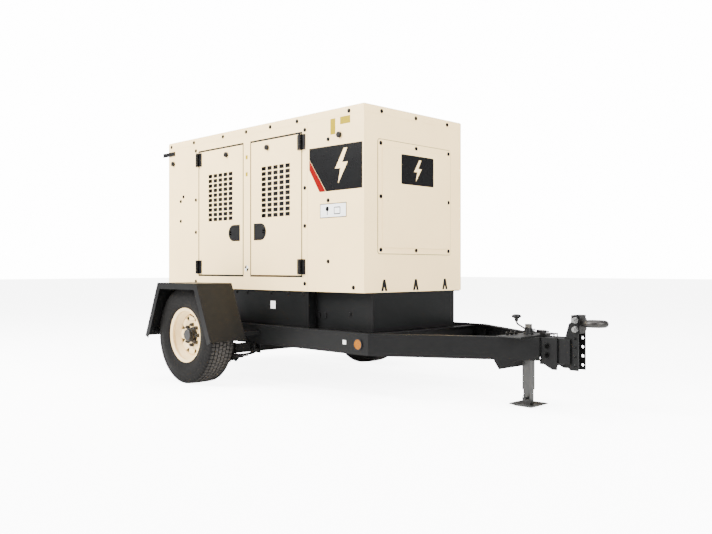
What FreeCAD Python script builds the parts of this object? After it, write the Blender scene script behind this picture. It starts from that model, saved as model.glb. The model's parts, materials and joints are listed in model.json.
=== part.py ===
import FreeCAD, Part
import math
import os

V = FreeCAD.Vector

# Towable diesel generator set on a single-axle trailer. Millimetres.
# x runs forward to the tow ring and is drawn from the axle line, y = 0 is the centre plane, z = 0 the ground.
# save() moves every shape so that x = 0 is half way along the whole machine.

# ---------------------------------------------------------------- driving sizes
# housing
SHEET = 3.0                # thickness of housing sheet
HOUSE_REAR = 1127.0        # rear face of the housing, behind the axle
HOUSE_WIDTH = 1136.0
HOUSE_BASE = 753.0         # underside of the housing
HOUSE_HEIGHT = 1310.0      # underside of the housing to the roof seam
ROOF_DEPTH = 63.0          # height of the roof cap
ROOF_CHAMFER = 8.0
REAR_BAY = 516.0           # closed wall behind the rear doors
REAR_DOOR_WIDTH = 669.0    # opening of the rear side doors
PILLAR = 109.0             # wall between the two doors of a side
FRONT_DOOR_WIDTH = 652.0   # opening of the front side doors
SEAM_MARGIN = 67.0         # front door opening to the panel seam
FRONT_BAY = 618.0          # front housing, seam to front face
DOOR_SILL = 115.0          # housing underside to the door openings
DOOR_HEAD = 71.0           # door openings to the roof seam
DOOR_DEPTH = 30.0
DOOR_SIDE_GAP = 4.0
DOOR_END_GAP = 8.0
JAMB_DEPTH = 40.0
STOP_LIP = 18.0            # how far the door stop stands into the opening
SEAL_GAP = 3.0
# door vents
VENT_COLUMNS = 5
VENT_ROWS = 10
VENT_WIDTH = 60.0
VENT_HEIGHT = 33.0
VENT_RADIUS = 6.0
VENT_PITCH_X = 76.5
VENT_PITCH_Z = 43.0
VENT_TOP_DROP = 222.5      # door opening's top to the top row's upper edge
REAR_VENT_INSET = 151.5    # hinge edge to the first vent, rear doors
FRONT_VENT_INSET = 141.5   # hinge edge to the first vent, front doors
# hinges, holders and latches
HINGE_OUT = 22.0           # hinge pin ahead of the wall's outer face
HINGE_HEIGHT = 120.0
HINGE_LEAF = 45.0
HINGE_LEAF_T = 8.0
HINGE_KNUCKLE_R = 10.0
HINGE_PIN_R = 5.0
HINGE_INSET = 75.0         # door opening's end to the middle of a hinge
PIN_PLAY = 0.06            # radial running clearance of pins and shafts
HOLDER_REACH = 430.0       # hinge pin to each holder knob
HOLDER_DROP = 69.0         # holder knob below the door opening's top
HOLDER_R = 22.0
HOLDER_H = 19.0
LATCH_LENGTH = 159.0
LATCH_HEIGHT = 139.0
LATCH_EDGE = 46.0          # door opening's free edge to the latch's flat side
LATCH_Z = 367.0            # door opening's bottom to the latch's middle
LATCH_CUP_DEPTH = 24.0
LATCH_RIM = 4.0
PADDLE_T = 9.0
PADDLE_GAP = 2.0
# skid and tank
SKID_BASE = 465.0
SKID_INSET = 13.0          # skid side behind the housing's side
SKID_PLATE = 6.0
TANK_INSET = 80.0          # skid side to the tank side
TANK_PLATE = 4.0
TANK_REAR_X = 240.0
# trailer frame
RAIL_HEIGHT = 153.0
RAIL_BASE = 324.0
RAIL_FLANGE = 50.0
RAIL_WEB_T = 6.0
RAIL_FLANGE_T = 8.0
RAIL_OUTER = 692.0         # centre plane to the rail's outer face
RAIL_REAR = 1090.0         # rail's rear end, behind the axle
RAIL_BEND = 1662.0         # where the tongue beams leave the rails
TONGUE_END = 2649.0
TONGUE_END_OUTER = 90.0
CROSS_HEIGHT = 100.0
CROSS_WIDTH = 50.0
CROSS_T = 6.0
# wheels
TYRE_R = 391.0             # 235/80R16
TYRE_WIDTH = 235.0
TREAD_DEPTH = 9.0
RIM_R = 203.2              # bead seat
RIM_FLANGE_H = 17.3        # flange above the bead seat
RIM_WIDTH = 178.0          # between the bead flanges
RIM_T = 6.0
WHEEL_TRACK = 2005.0
DISC_RECESS = 77.0         # rim's outer plane to the disc's face
LUG_CIRCLE_R = 82.55       # eight studs on 6.5 in
LUG_COUNT = 8
LUG_R = 7.0
DISC_HOLE_R = 62.0
VENT_INSET = 38.2          # drop centre to the middle of the disc vents
LUG_LAND = 27.45           # flat of the disc outside the lug circle
RIM_LIP = 12.0             # rim edge beyond the bead seat
RIM_WELL = 28.0            # depth of the drop centre
DISC_T = 8.0
DISC_FLANGE = 8.0          # rolled edge of the disc inside the well
DRUM_PLAY = 4.0
DRUM_DEPTH = 66.0
SPINDLE_R = 30.0
HUB_NOSE_R = 55.0
# axle and springs
AXLE_SQUARE = 76.0
AXLE_BASE = 212.0          # underside of the beam
SPRING_SPAN = 360.0        # axle to each spring eye
EYE_Z = 270.0
EYE_R = 20.0
EYE_PIN_R = 9.0
LEAF_T = 8.0
LEAF_WIDTH = 50.0
LEAF_COUNT = 5
LEAF_GAP = 0.6
SEAT_GAP = 0.3             # between the clamped pieces of the spring seat
UBOLT_R = 7.0
CLAMP_T = 10.0
HANGER_T = 8.0
# fenders
FENDER_OVER = 28.0         # tyre's top to the fender's underside
FENDER_SLOPE = 109.0       # run of the upper slope
FENDER_KNEE_GAP = 4.0      # tyre's front to the knee
FENDER_KNEE_Z = 560.0
FENDER_FOOT_GAP = 89.0     # tyre's front to the fender's foot
FENDER_FOOT_Z = 366.0
FENDER_IN = 35.0           # inboard of the tyre
FENDER_OUT = 65.0          # outboard of the tyre
FENDER_LIP = 50.0
# hitch
HITCH_REAR = 2643.0
HITCH_FRONT = 2770.0
HITCH_PLATE = 12.0
DRAWBAR_WIDTH = 128.0
DRAWBAR_WALL = 10.0
DRAWBAR_BASE = 316.0
DRAWBAR_TOP = 476.0
CHANNEL_X = 2856.0         # rear face of the hitch channel's web
CHANNEL_DEPTH = 50.0
CHANNEL_WIDTH = 100.0
CHANNEL_T = 10.0
CHANNEL_BASE = 276.0
CHANNEL_TOP = 632.0
CHANNEL_HOLES = 6
CHANNEL_PITCH = 58.5
CHANNEL_HOLE_R = 10.0
RING_TIP = 3080.0
RING_EYE_R = 38.1
RING_BAR_R = 22.0
EYE_LAND = 1.0             # depth of the straight land inside the eye
RING_Z = 580.0
# jack
JACK_X = 2509.0
JACK_OUTER = 60.0          # outer square tube
JACK_WALL = 4.0
JACK_PLAY = 1.0
JACK_TUBE_BASE = 112.0
JACK_LEG_TOP = 420.0
FOOT_PIN_Z = 54.0
FOOT_PIN_R = 7.0
JACK_TUBE_TOP = 480.0
JACK_HEAD_H = 76.0
SWITCH_R = 9.0             # breakaway switch beside the jack
FOOT_HALF = 93.0
FOOT_FLAT_HALF = 58.0
FOOT_RISE = 20.0
FOOT_T = 6.0
CRANK_ROD_R = 6.0
STUB_R = 10.0              # crank's stub shaft in the gear head
STUB_DEPTH = 20.0
CRANK_REACH = 145.0
KNOB_R = 32.0
# power unit
CRANK_Z = 1050.0           # crankshaft above the ground
SHAFT_R = 32.0
ENGINE_LENGTH = 720.0
ENGINE_HALF = 165.0
ENGINE_BASE = 930.0
ENGINE_DECK = 1400.0
HEAD_H = 130.0
COVER_H = 70.0
PAN_H = 120.0
CYLINDERS = 4
BORE_R = 52.5
FLYWHEEL_R = 185.0
FLYWHEEL_T = 40.0
FLYWHEEL_BACK = 65.0       # engine block to the flywheel
HOUSING_R = 235.0
ALTERNATOR_LENGTH = 620.0
ALTERNATOR_BACK = 150.0    # engine block to the alternator frame
ALTERNATOR_R = 230.0
ROTOR_R = 150.0
STATOR_LENGTH = 320.0
STATOR_INSET = 150.0       # alternator's ends to the stator
AIR_GAP = 2.0
FAN_Z = 1290.0
FAN_R = 310.0
FAN_TO_ENGINE = 125.0
FAN_TO_RADIATOR = 105.0
FAN_BLADES = 8
RADIATOR_T = 80.0
RADIATOR_GAP = 134.0       # radiator to the housing's front face
RADIATOR_INSET = 168.0
RADIATOR_H = 950.0
# exhaust
MUFFLER_R = 100.0
MUFFLER_LENGTH = 580.0
MUFFLER_BACK = 520.0       # engine block to the muffler
MUFFLER_INSET = 168.0      # housing side to the muffler's middle
MUFFLER_DROP = 185.0       # muffler's middle below the roof seam
OUTLET_X = -940.0
OUTLET_R = 45.0
OUTLET_RISE = 8.0          # outlet above the roof
# control panel and rear door
PANEL_INSET = 238.0        # housing side to the control panel's side
PANEL_DEPTH = 160.0
PANEL_HEIGHT = 640.0
PANEL_DROP = 183.0         # roof seam to the control panel's top
STOP_STEM_R = 11.0
SWITCH_STEM_R = 8.0
CONTROL_PLAY = 0.3
OUTLETS = 3                # capped outlets below the breaker
OUTLET_PITCH = 110.0
REAR_OPENING_MARGIN = 12.0
REAR_DOOR_INSET = 98.0
REAR_DOOR_LOW = 110.0      # rear door below the control panel
REAR_DOOR_HIGH = 95.0      # rear door above the control panel
REAR_DOOR_T = 25.0
BATTERY_INSET = 95.0
BATTERY_WIDTH = 173.0
# front cover
COVER_INSET = 143.0        # housing side to the cover's edge
COVER_LOW = 287.0          # housing underside to the cover
COVER_TOP = 183.0          # cover to the roof seam
REAR_PIVOT_BACK = 66.0     # pivot behind the housing's rear face
REAR_PIVOT_R = 8.0
STRAP_FRONT = 112.0        # strap's reach along the side wall
STRAP_BACK = 90.0
STRAP_HEIGHT = 37.0
SCREW_R = 10.0
SCREW_H = 5.0

# ---------------------------------------------------------------- derived places
JACK_LEG = JACK_OUTER - 2 * (JACK_WALL + JACK_PLAY)
HOUSE_HALF = HOUSE_WIDTH / 2
REAR_X = -HOUSE_REAR
REAR_OPEN = (REAR_X + REAR_BAY, REAR_X + REAR_BAY + REAR_DOOR_WIDTH)
FRONT_OPEN = (REAR_OPEN[1] + PILLAR, REAR_OPEN[1] + PILLAR + FRONT_DOOR_WIDTH)
SEAM_X = FRONT_OPEN[1] + SEAM_MARGIN
FRONT_X = SEAM_X + FRONT_BAY
SEAM_Z = HOUSE_BASE + HOUSE_HEIGHT
ROOF_Z = SEAM_Z + ROOF_DEPTH
RADIATOR_X = (FRONT_X - RADIATOR_GAP - RADIATOR_T, FRONT_X - RADIATOR_GAP)
FAN_X = RADIATOR_X[0] - FAN_TO_RADIATOR
ENGINE_X = (FAN_X - FAN_TO_ENGINE - ENGINE_LENGTH, FAN_X - FAN_TO_ENGINE)
FLYWHEEL_X = (ENGINE_X[0] - FLYWHEEL_BACK - FLYWHEEL_T, ENGINE_X[0] - FLYWHEEL_BACK)
ALTERNATOR_X = (ENGINE_X[0] - ALTERNATOR_BACK - ALTERNATOR_LENGTH, ENGINE_X[0] - ALTERNATOR_BACK)
STATOR_X = (ALTERNATOR_X[0] + STATOR_INSET, ALTERNATOR_X[0] + STATOR_INSET + STATOR_LENGTH)
MUFFLER_X = (ENGINE_X[0] - MUFFLER_BACK - MUFFLER_LENGTH, ENGINE_X[0] - MUFFLER_BACK)
OPEN_Z = (HOUSE_BASE + DOOR_SILL, SEAM_Z - DOOR_HEAD)
RAIL_TOP = RAIL_BASE + RAIL_HEIGHT
SKID_HALF = HOUSE_HALF - SKID_INSET
TANK_HALF = SKID_HALF - TANK_INSET
RADIATOR_HALF = HOUSE_HALF - RADIATOR_INSET
MUFFLER_Y = -(HOUSE_HALF - MUFFLER_INSET)
BATTERY_Y = (HOUSE_HALF - BATTERY_INSET - BATTERY_WIDTH, HOUSE_HALF - BATTERY_INSET)
COVER_HALF = HOUSE_HALF - COVER_INSET
COVER_Z = (HOUSE_BASE + COVER_LOW, SEAM_Z - COVER_TOP)
PANEL_HALF = HOUSE_HALF - PANEL_INSET
REAR_DOOR_HALF = HOUSE_HALF - REAR_DOOR_INSET
PANEL_Z = (SEAM_Z - PANEL_DROP - PANEL_HEIGHT, SEAM_Z - PANEL_DROP)
REAR_DOOR_Z = (PANEL_Z[0] - REAR_DOOR_LOW, PANEL_Z[1] + REAR_DOOR_HIGH)
MUFFLER_Z = SEAM_Z - MUFFLER_DROP
OUTLET_TOP = ROOF_Z + OUTLET_RISE
REAR_END = HOUSE_REAR + STRAP_BACK
MID_X = (RING_TIP - REAR_END) / 2
WHEEL_Y = WHEEL_TRACK / 2
HINGE_Y = HOUSE_HALF + HINGE_OUT
PIVOT_X = REAR_X - REAR_PIVOT_BACK
PIVOT_Z = SEAM_Z - 45.0
RING_X = RING_TIP - RING_EYE_R - 2 * RING_BAR_R + EYE_LAND
BEAM_Z = (AXLE_BASE, AXLE_BASE + AXLE_SQUARE)
SPRING_TOP = AXLE_BASE - SEAT_GAP - LEAF_GAP
SPRING_LOW = SPRING_TOP - LEAF_COUNT * (LEAF_T + LEAF_GAP)
RIM_HALF = RIM_WIDTH / 2 + RIM_LIP
DISC_Y = WHEEL_Y + RIM_HALF - DISC_RECESS          # disc's outer face
WELL_R = RIM_R - RIM_WELL
RIM_FLANGE_R = RIM_R + RIM_FLANGE_H
VENT_CIRCLE_R = WELL_R - VENT_INSET
DRUM_R = WELL_R - RIM_T - DISC_FLANGE - DRUM_PLAY
DRUM_Y = (DISC_Y - DISC_T - 4 - DRUM_DEPTH, DISC_Y - DISC_T - SEAT_GAP)
RISER_Y = (WHEEL_Y - TYRE_WIDTH / 2 - 53, WHEEL_Y - TYRE_WIDTH / 2 - 13)
SPINDLE_END = DISC_Y + 30
FENDER_TOP = 2 * TYRE_R + FENDER_OVER + SHEET
FENDER_KNEE_HALF = TYRE_R + FENDER_KNEE_GAP
FENDER_TOP_HALF = FENDER_KNEE_HALF - FENDER_SLOPE
FENDER_FOOT_HALF = TYRE_R + FENDER_FOOT_GAP
FENDER_INNER = WHEEL_Y - TYRE_WIDTH / 2 - FENDER_IN
FENDER_OUTER = WHEEL_Y + TYRE_WIDTH / 2 + FENDER_OUT
CRANK_BASE = JACK_TUBE_TOP + JACK_HEAD_H - 28
FITTING_Z = CRANK_BASE - CRANK_ROD_R - 4 - SWITCH_R
DOORS = {"rear": (REAR_OPEN, 1), "front": (FRONT_OPEN, -1)}   # opening, +1 when hinged at its rear edge


# ---------------------------------------------------------------- helpers
def block(x, y, z):
    return Part.makeBox(x[1] - x[0], y[1] - y[0], z[1] - z[0], V(x[0], y[0], z[0]))


def rod(start, direction, radius, length):
    return Part.makeCylinder(radius, length, V(*start), V(*direction))


def ring(start, direction, outer, inner, length):
    return rod(start, direction, outer, length).cut(rod(start, direction, inner, length))


def along(a, b, radius):
    """Round bar from point a to point b."""
    span = V(*b) - V(*a)
    return Part.makeCylinder(radius, span.Length, V(*a), span)


def ball(centre, radius):
    return Part.makeSphere(radius, V(*centre))


def join(shapes):
    first, rest = shapes[0], shapes[1:]
    return first.fuse(rest).removeSplitter() if rest else first


def group(shapes):
    return Part.makeCompound(shapes)


def mirrored(shape):
    return shape.mirror(V(0, 0, 0), V(0, 1, 0))


def both_sides(shapes):
    return list(shapes) + [mirrored(shape) for shape in shapes]


def plate_xz(points, y0, y1):
    """Flat plate whose outline lies in the x-z plane, from y0 to y1."""
    wire = Part.makePolygon([V(x, y0, z) for x, z in points + points[:1]])
    return Part.Face(wire).extrude(V(0, y1 - y0, 0))


def plate_yz(points, x0, x1):
    wire = Part.makePolygon([V(x0, y, z) for y, z in points + points[:1]])
    return Part.Face(wire).extrude(V(x1 - x0, 0, 0))


def revolved_y(points, y_shift):
    """Ring turned about the wheel's axle line from (radius, y) points."""
    wire = Part.makePolygon([V(0, y + y_shift, r) for r, y in points + points[:1]])
    solid = Part.Face(wire).revolve(V(0, 0, 0), V(0, 1, 0), 360)
    solid.translate(V(0, 0, TYRE_R))
    return solid


def offset_line(points, distance):
    """Open outline moved sideways by distance, with mitred corners."""
    moved = []
    for i, (x, z) in enumerate(points):
        normals = []
        for a, b in ((i - 1, i), (i, i + 1)):
            if a >= 0 and b < len(points):
                dx, dz = points[b][0] - points[a][0], points[b][1] - points[a][1]
                length = math.hypot(dx, dz)
                normals.append((dz / length, -dx / length))
        nx = sum(n[0] for n in normals) / len(normals)
        nz = sum(n[1] for n in normals) / len(normals)
        scale = distance / (nx * nx + nz * nz)
        moved.append((x + nx * scale, z + nz * scale))
    return moved


def rounded_block(x, y, z, radius, axis):
    """Block with the four edges along an axis rounded."""
    solid = block(x, y, z)
    edges = [e for e in solid.Edges if abs(e.tangentAt(e.FirstParameter).dot(axis)) > 0.99]
    return solid.makeFillet(radius, edges)


def hexagon(centre, direction, across, height):
    """Hexagon bar standing on centre along x, y or z."""
    corner = across / math.sqrt(3)
    angles = [math.radians(60 * k) for k in range(6)]
    turns = [(corner * math.cos(a), corner * math.sin(a)) for a in angles]
    wire = Part.makePolygon([V(u, v, 0) for u, v in turns + turns[:1]])
    solid = Part.Face(wire).extrude(V(0, 0, height))
    solid.Placement = FreeCAD.Placement(V(*centre), FreeCAD.Rotation(V(0, 0, 1), V(*direction)))
    return solid


def channel(x, outer, side, z, flange, web_t, flange_t):
    """Straight channel along x, web outside, on side +1 or -1."""
    y = sorted((side * outer, side * (outer - flange)))
    hollow = sorted((side * (outer - web_t), side * (outer - flange - 1)))
    return block(x, y, z).cut(block((x[0] - 1, x[1] + 1), hollow, (z[0] + flange_t, z[1] - flange_t)))


# ---------------------------------------------------------------- trailer frame
def hanger(x, side):
    """Two ears and a pin under a rail that hold one spring eye."""
    mid = RAIL_OUTER - RAIL_FLANGE / 2
    ears = []
    for offset in (-1, 1):
        inner = mid + offset * (LEAF_WIDTH / 2 + 1.0)
        y = sorted((side * inner, side * (inner + offset * HANGER_T)))
        ears.append(block((x - 26, x + 26), y, (EYE_Z - 28, RAIL_BASE)))
    reach = LEAF_WIDTH / 2 + 1.0 + HANGER_T + 6
    pin = rod((x, side * mid - reach, EYE_Z), (0, 1, 0), EYE_PIN_R, 2 * reach)
    return ears + [pin]


def side_rails():
    rails = []
    for side in (-1, 1):
        z = (RAIL_BASE, RAIL_TOP)
        rail = channel((-RAIL_REAR, RAIL_BEND), RAIL_OUTER, side, z, RAIL_FLANGE, RAIL_WEB_T, RAIL_FLANGE_T)
        pieces = [rail]
        for x in (-SPRING_SPAN, SPRING_SPAN):
            pieces += hanger(x, side)
        rails.append(join(pieces))
    return group(rails)


def tongue_outer(x):
    """Outer face of a tongue beam at x, measured from the centre plane."""
    share = (x - RAIL_BEND) / (TONGUE_END - RAIL_BEND)
    return RAIL_OUTER + (TONGUE_END_OUTER - RAIL_OUTER) * share


def tongue_beams():
    slope = (TONGUE_END_OUTER - RAIL_OUTER) / (TONGUE_END - RAIL_BEND)
    scale = math.hypot(1, slope)
    beams = []
    for side in (-1, 1):
        def flat(depth0, depth1, z):
            """Strip that lies between two depths behind the outer face."""
            corners = []
            ends = ((RAIL_BEND, depth0), (TONGUE_END, depth0), (TONGUE_END, depth1), (RAIL_BEND, depth1))
            for x, depth in ends:
                corners.append(V(x, side * (tongue_outer(x) - depth * scale), z[0]))
            wire = Part.makePolygon(corners + corners[:1])
            return Part.Face(wire).extrude(V(0, 0, z[1] - z[0]))
        web = flat(0, RAIL_WEB_T, (RAIL_BASE, RAIL_TOP))
        top = flat(0, RAIL_FLANGE, (RAIL_TOP - RAIL_FLANGE_T, RAIL_TOP))
        low = flat(0, RAIL_FLANGE, (RAIL_BASE, RAIL_BASE + RAIL_FLANGE_T))
        beams.append(join([web, top, low]))
    return group(beams)


def cross_channel(x, half, z):
    body = block((x, x + CROSS_WIDTH), (-half, half), z)
    hollow = block((x + CROSS_T, x + CROSS_WIDTH + 1), (-half - 1, half + 1),
                   (z[0] + CROSS_T, z[1] - CROSS_T))
    return body.cut(hollow)


def cross_members():
    z = (SKID_BASE - CROSS_HEIGHT, SKID_BASE)
    half = RAIL_OUTER - RAIL_WEB_T
    members = [cross_channel(x, half, z) for x in (-RAIL_REAR + 20, -560, 130, 860, RAIL_BEND - 120)]
    # plates across the tongue, ahead of and behind the jack, and the folded bracket under it
    for x in (JACK_X - 190, JACK_X + JACK_OUTER / 2 + 14):
        inner = tongue_outer(x + 60) - RAIL_WEB_T - 4
        top = RAIL_TOP - RAIL_FLANGE_T - SEAT_GAP
        members.append(block((x, x + 60), (-inner, inner), (top - 8, top)))
    rear = JACK_X - 170
    tip = JACK_X - JACK_OUTER / 2 - 6
    side = [(JACK_X - 230, RAIL_BASE), (rear, RAIL_BASE - 84), (tip, RAIL_BASE - 54), (tip, RAIL_BASE)]
    tray = [(rear, RAIL_BASE - 84), (tip, RAIL_BASE - 54), (tip, RAIL_BASE - 48), (rear, RAIL_BASE - 78)]
    web = plate_xz(side, 96, 102)
    floor = plate_xz(tray, -102, 102)
    members.append(join([web, mirrored(web), floor]))
    return group(members)


def jack_mount():
    """Plate welded over the tongue that carries the jack's outer tube."""
    x = (JACK_X - JACK_OUTER / 2 - 60, JACK_X + JACK_OUTER / 2 + 60)
    half = tongue_outer(x[0])
    return block(x, (-half, half), (RAIL_TOP, RAIL_TOP + 8))


# ---------------------------------------------------------------- axle, springs, wheels
def leaf(index):
    """One leaf: a strip between two arcs that droops to the axle."""
    half = SPRING_SPAN - index * SPRING_SPAN / (LEAF_COUNT + 0.6)
    top0 = SPRING_TOP - index * (LEAF_T + LEAF_GAP)
    rise = (EYE_Z - EYE_R + LEAF_T - SPRING_TOP) * (half / SPRING_SPAN) ** 2
    low0 = top0 - LEAF_T
    upper = Part.Arc(V(-half, 0, top0 + rise), V(0, 0, top0), V(half, 0, top0 + rise)).toShape()
    lower = Part.Arc(V(half, 0, low0 + rise), V(0, 0, low0), V(-half, 0, low0 + rise)).toShape()
    ends = [Part.makeLine(V(half, 0, top0 + rise), V(half, 0, low0 + rise)),
            Part.makeLine(V(-half, 0, low0 + rise), V(-half, 0, top0 + rise))]
    wire = Part.Wire([upper, ends[0], lower, ends[1]])
    return Part.Face(wire).extrude(V(0, LEAF_WIDTH, 0))


def leaf_springs():
    solids = []
    for side in (-1, 1):
        y = side * (RAIL_OUTER - RAIL_FLANGE / 2) - LEAF_WIDTH / 2
        main = leaf(0)
        eyes = [rod((x, 0, EYE_Z), (0, 1, 0), EYE_R, LEAF_WIDTH) for x in (-SPRING_SPAN, SPRING_SPAN)]
        bores = [rod((x, -1, EYE_Z), (0, 1, 0), EYE_PIN_R + 0.5, LEAF_WIDTH + 2) for x in (-SPRING_SPAN,
                                                                                           SPRING_SPAN)]
        main = join([main] + eyes).cut(group(bores))
        for solid in [main] + [leaf(i) for i in range(1, LEAF_COUNT)]:
            solid.translate(V(0, y, 0))
            solids.append(solid)
    return group(solids)


def axle_beam():
    """Drop axle: low square beam, risers, stub spindles and brake backing plates."""
    beam = block((-AXLE_SQUARE / 2, AXLE_SQUARE / 2), (-RISER_Y[1], RISER_Y[1]), BEAM_Z)
    pieces = [beam]
    for side in (-1, 1):
        y = sorted((side * RISER_Y[0], side * RISER_Y[1]))
        riser = block((-45, 45), y, (BEAM_Z[0], TYRE_R + 50))
        spindle = rod((0, side * RISER_Y[1], TYRE_R), (0, side, 0), SPINDLE_R, SPINDLE_END - RISER_Y[1])
        backing = rod((0, side * (DRUM_Y[0] - 8), TYRE_R), (0, side, 0), DRUM_R, 5)
        carrier = rod((0, side * RISER_Y[1], TYRE_R), (0, side, 0), 55, DRUM_Y[0] - 3 - RISER_Y[1])
        pieces += [riser, spindle, backing, carrier]
    return join(pieces)


def u_bolts():
    """Two U-bolts over the beam, with nuts and a clamp plate under the spring, on each side."""
    solids = []
    out = AXLE_SQUARE / 2 + UBOLT_R + 1
    beside = LEAF_WIDTH / 2 + UBOLT_R + 1
    plate_z = (SPRING_LOW - CLAMP_T, SPRING_LOW)
    bridge_z = BEAM_Z[1] + SEAT_GAP + UBOLT_R
    foot_z = plate_z[0] - 14
    for side in (-1, 1):
        mid = side * (RAIL_OUTER - RAIL_FLANGE / 2)
        plate = block((-out - 20, out + 20), (mid - beside - 14, mid + beside + 14), plate_z)
        for s in (-1, 1):
            y = mid + s * beside
            legs = [rod((x, y, foot_z), (0, 0, 1), UBOLT_R, bridge_z - foot_z) for x in (-out, out)]
            corners = [ball((x, y, bridge_z), UBOLT_R) for x in (-out, out)]
            bridge = rod((-out, y, bridge_z), (1, 0, 0), UBOLT_R, 2 * out)
            solids.append(join(legs + corners + [bridge]))
            for x in (-out, out):
                plate = plate.cut(rod((x, y, plate_z[0] - 1), (0, 0, 1), UBOLT_R, CLAMP_T + 2))
                nut = hexagon((x, y, plate_z[0]), (0, 0, -1), 22, 11)
                solids.append(nut.cut(rod((x, y, foot_z - 1), (0, 0, 1), UBOLT_R, 16)))
        solids.append(plate)
    return group(solids)


def tyre(side):
    half = TYRE_WIDTH / 2
    shoulder = TYRE_R - 22
    tread = half - 18
    outer = [(RIM_R + 1, -RIM_WIDTH / 2 + 1), (RIM_R + 24, -RIM_WIDTH / 2 - 8), (RIM_R + 70, -half + 1),
             (RIM_R + 95, -half), (RIM_R + 130, -half + 3), (shoulder, -half + 11),
             (TYRE_R - 5, -tread - 3), (TYRE_R, -tread + 8)]
    floor = TYRE_R - TREAD_DEPTH
    grooves = []
    for y in (-60.0, -20.0, 20.0, 60.0):
        grooves += [(TYRE_R, y - 5), (floor, y - 3.5), (floor, y + 3.5), (TYRE_R, y + 5)]
    inner = [(RIM_R + 14, RIM_WIDTH / 2 - 12), (RIM_R + 70, half - 12), (TYRE_R - 34, half - 18),
             (TYRE_R - 19, tread - 8)]
    profile = outer + grooves + [(r, -y) for r, y in reversed(outer)]
    profile += inner + [(r, -y) for r, y in reversed(inner)]
    return revolved_y(profile, side * WHEEL_Y)


def rim(side):
    """Steel disc wheel: rolled barrel, recessed dished disc with vents and stud holes."""
    h = RIM_WIDTH / 2
    well = WELL_R
    barrel = [(RIM_FLANGE_R, -h - RIM_LIP), (RIM_FLANGE_R, -h - 7), (RIM_R, -h), (RIM_R, -h + 22),
              (well, -h + 44), (well, h - 60), (RIM_R, h - 22), (RIM_R, h), (RIM_FLANGE_R, h + 7),
              (RIM_FLANGE_R, h + RIM_LIP), (RIM_FLANGE_R - RIM_T, h + RIM_LIP), (RIM_R - RIM_T, h + 2),
              (RIM_R - RIM_T, h - 20), (well - RIM_T, h - 58), (well - RIM_T, -h + 42), (RIM_R - RIM_T,
                                                                                         -h + 20),
              (RIM_R - RIM_T, -h - 2), (RIM_FLANGE_R - RIM_T, -h - RIM_LIP)]
    face = DISC_Y - WHEEL_Y
    edge = well - RIM_T
    flat = LUG_CIRCLE_R + LUG_LAND
    crest = edge - 16
    turn = flat + (crest - flat) / 3
    disc = [(DISC_HOLE_R, face), (flat, face), (turn, face + 10), (crest, face + 14), (edge, face + 2),
            (edge, face - 22), (edge - 6, face - 22), (edge - DISC_FLANGE, face - 2), (edge - 20, face + 5),
            (turn + 2, face + 2), (flat + 2, face - DISC_T), (DISC_HOLE_R, face - DISC_T)]
    if side < 0:
        barrel = [(r, -y) for r, y in barrel]
        disc = [(r, -y) for r, y in disc]
    solid = join([revolved_y(barrel, side * WHEEL_Y), revolved_y(disc, side * WHEEL_Y)])
    cutters = []
    y0 = side * DISC_Y - 40
    for k in range(LUG_COUNT):
        a = 2 * math.pi * k / LUG_COUNT
        x, z = LUG_CIRCLE_R * math.cos(a), LUG_CIRCLE_R * math.sin(a)
        cutters.append(rod((x, y0, TYRE_R + z), (0, 1, 0), LUG_R + 0.6, 80))
        b = a + math.pi / LUG_COUNT
        corners = []
        for radial, across in ((VENT_CIRCLE_R + 17, -27), (VENT_CIRCLE_R + 17, 27), (VENT_CIRCLE_R - 23, 0)):
            corners.append((radial * math.cos(b) - across * math.sin(b),
                            TYRE_R + radial * math.sin(b) + across * math.cos(b)))
        vent = plate_xz(corners, y0, y0 + 80)
        edges = [e for e in vent.Edges if abs(e.tangentAt(e.FirstParameter).y) > 0.99]
        cutters.append(vent.makeFillet(5, edges))
    return solid.cut(group(cutters))


def hub(side):
    """Brake drum with hub, studs, lug nuts and grease cap."""
    y = [side * v for v in DRUM_Y]
    face = side * (DISC_Y - DISC_T - 0.3)
    shell = rod((0, y[0], TYRE_R), (0, side, 0), DRUM_R, DRUM_Y[1] - DRUM_Y[0])
    hollow = rod((0, y[0], TYRE_R), (0, side, 0), DRUM_R - 10, DRUM_Y[1] - DRUM_Y[0] - 9)
    core = rod((0, y[0] + side * 2, TYRE_R), (0, side, 0), 58, DISC_Y + 16 - DRUM_Y[0])
    nose = rod((0, side * (DISC_Y + 14), TYRE_R), (0, side, 0), HUB_NOSE_R, 26)
    bore = rod((0, y[0] - side, TYRE_R), (0, side, 0), SPINDLE_R + PIN_PLAY, SPINDLE_END + 3 - DRUM_Y[0])
    drum = join([shell.cut(hollow), core, nose]).cut(bore)
    cap = rod((0, side * (DISC_Y + 40), TYRE_R), (0, side, 0), HUB_NOSE_R - 9, 20)
    cap = cap.makeFillet(6, [e for e in cap.Edges if abs(e.CenterOfMass.y) > DISC_Y + 59])
    solids = [drum, cap]
    for k in range(LUG_COUNT):
        a = 2 * math.pi * k / LUG_COUNT
        x, z = LUG_CIRCLE_R * math.cos(a), TYRE_R + LUG_CIRCLE_R * math.sin(a)
        solids.append(rod((x, face, z), (0, side, 0), LUG_R, DISC_T + 34))
        nut = hexagon((x, side * (DISC_Y + 0.3), z), (0, side, 0), 27, 22)
        solids.append(nut.cut(rod((x, side * DISC_Y, z), (0, side, 0), LUG_R, 26)))
    return group(solids)


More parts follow.
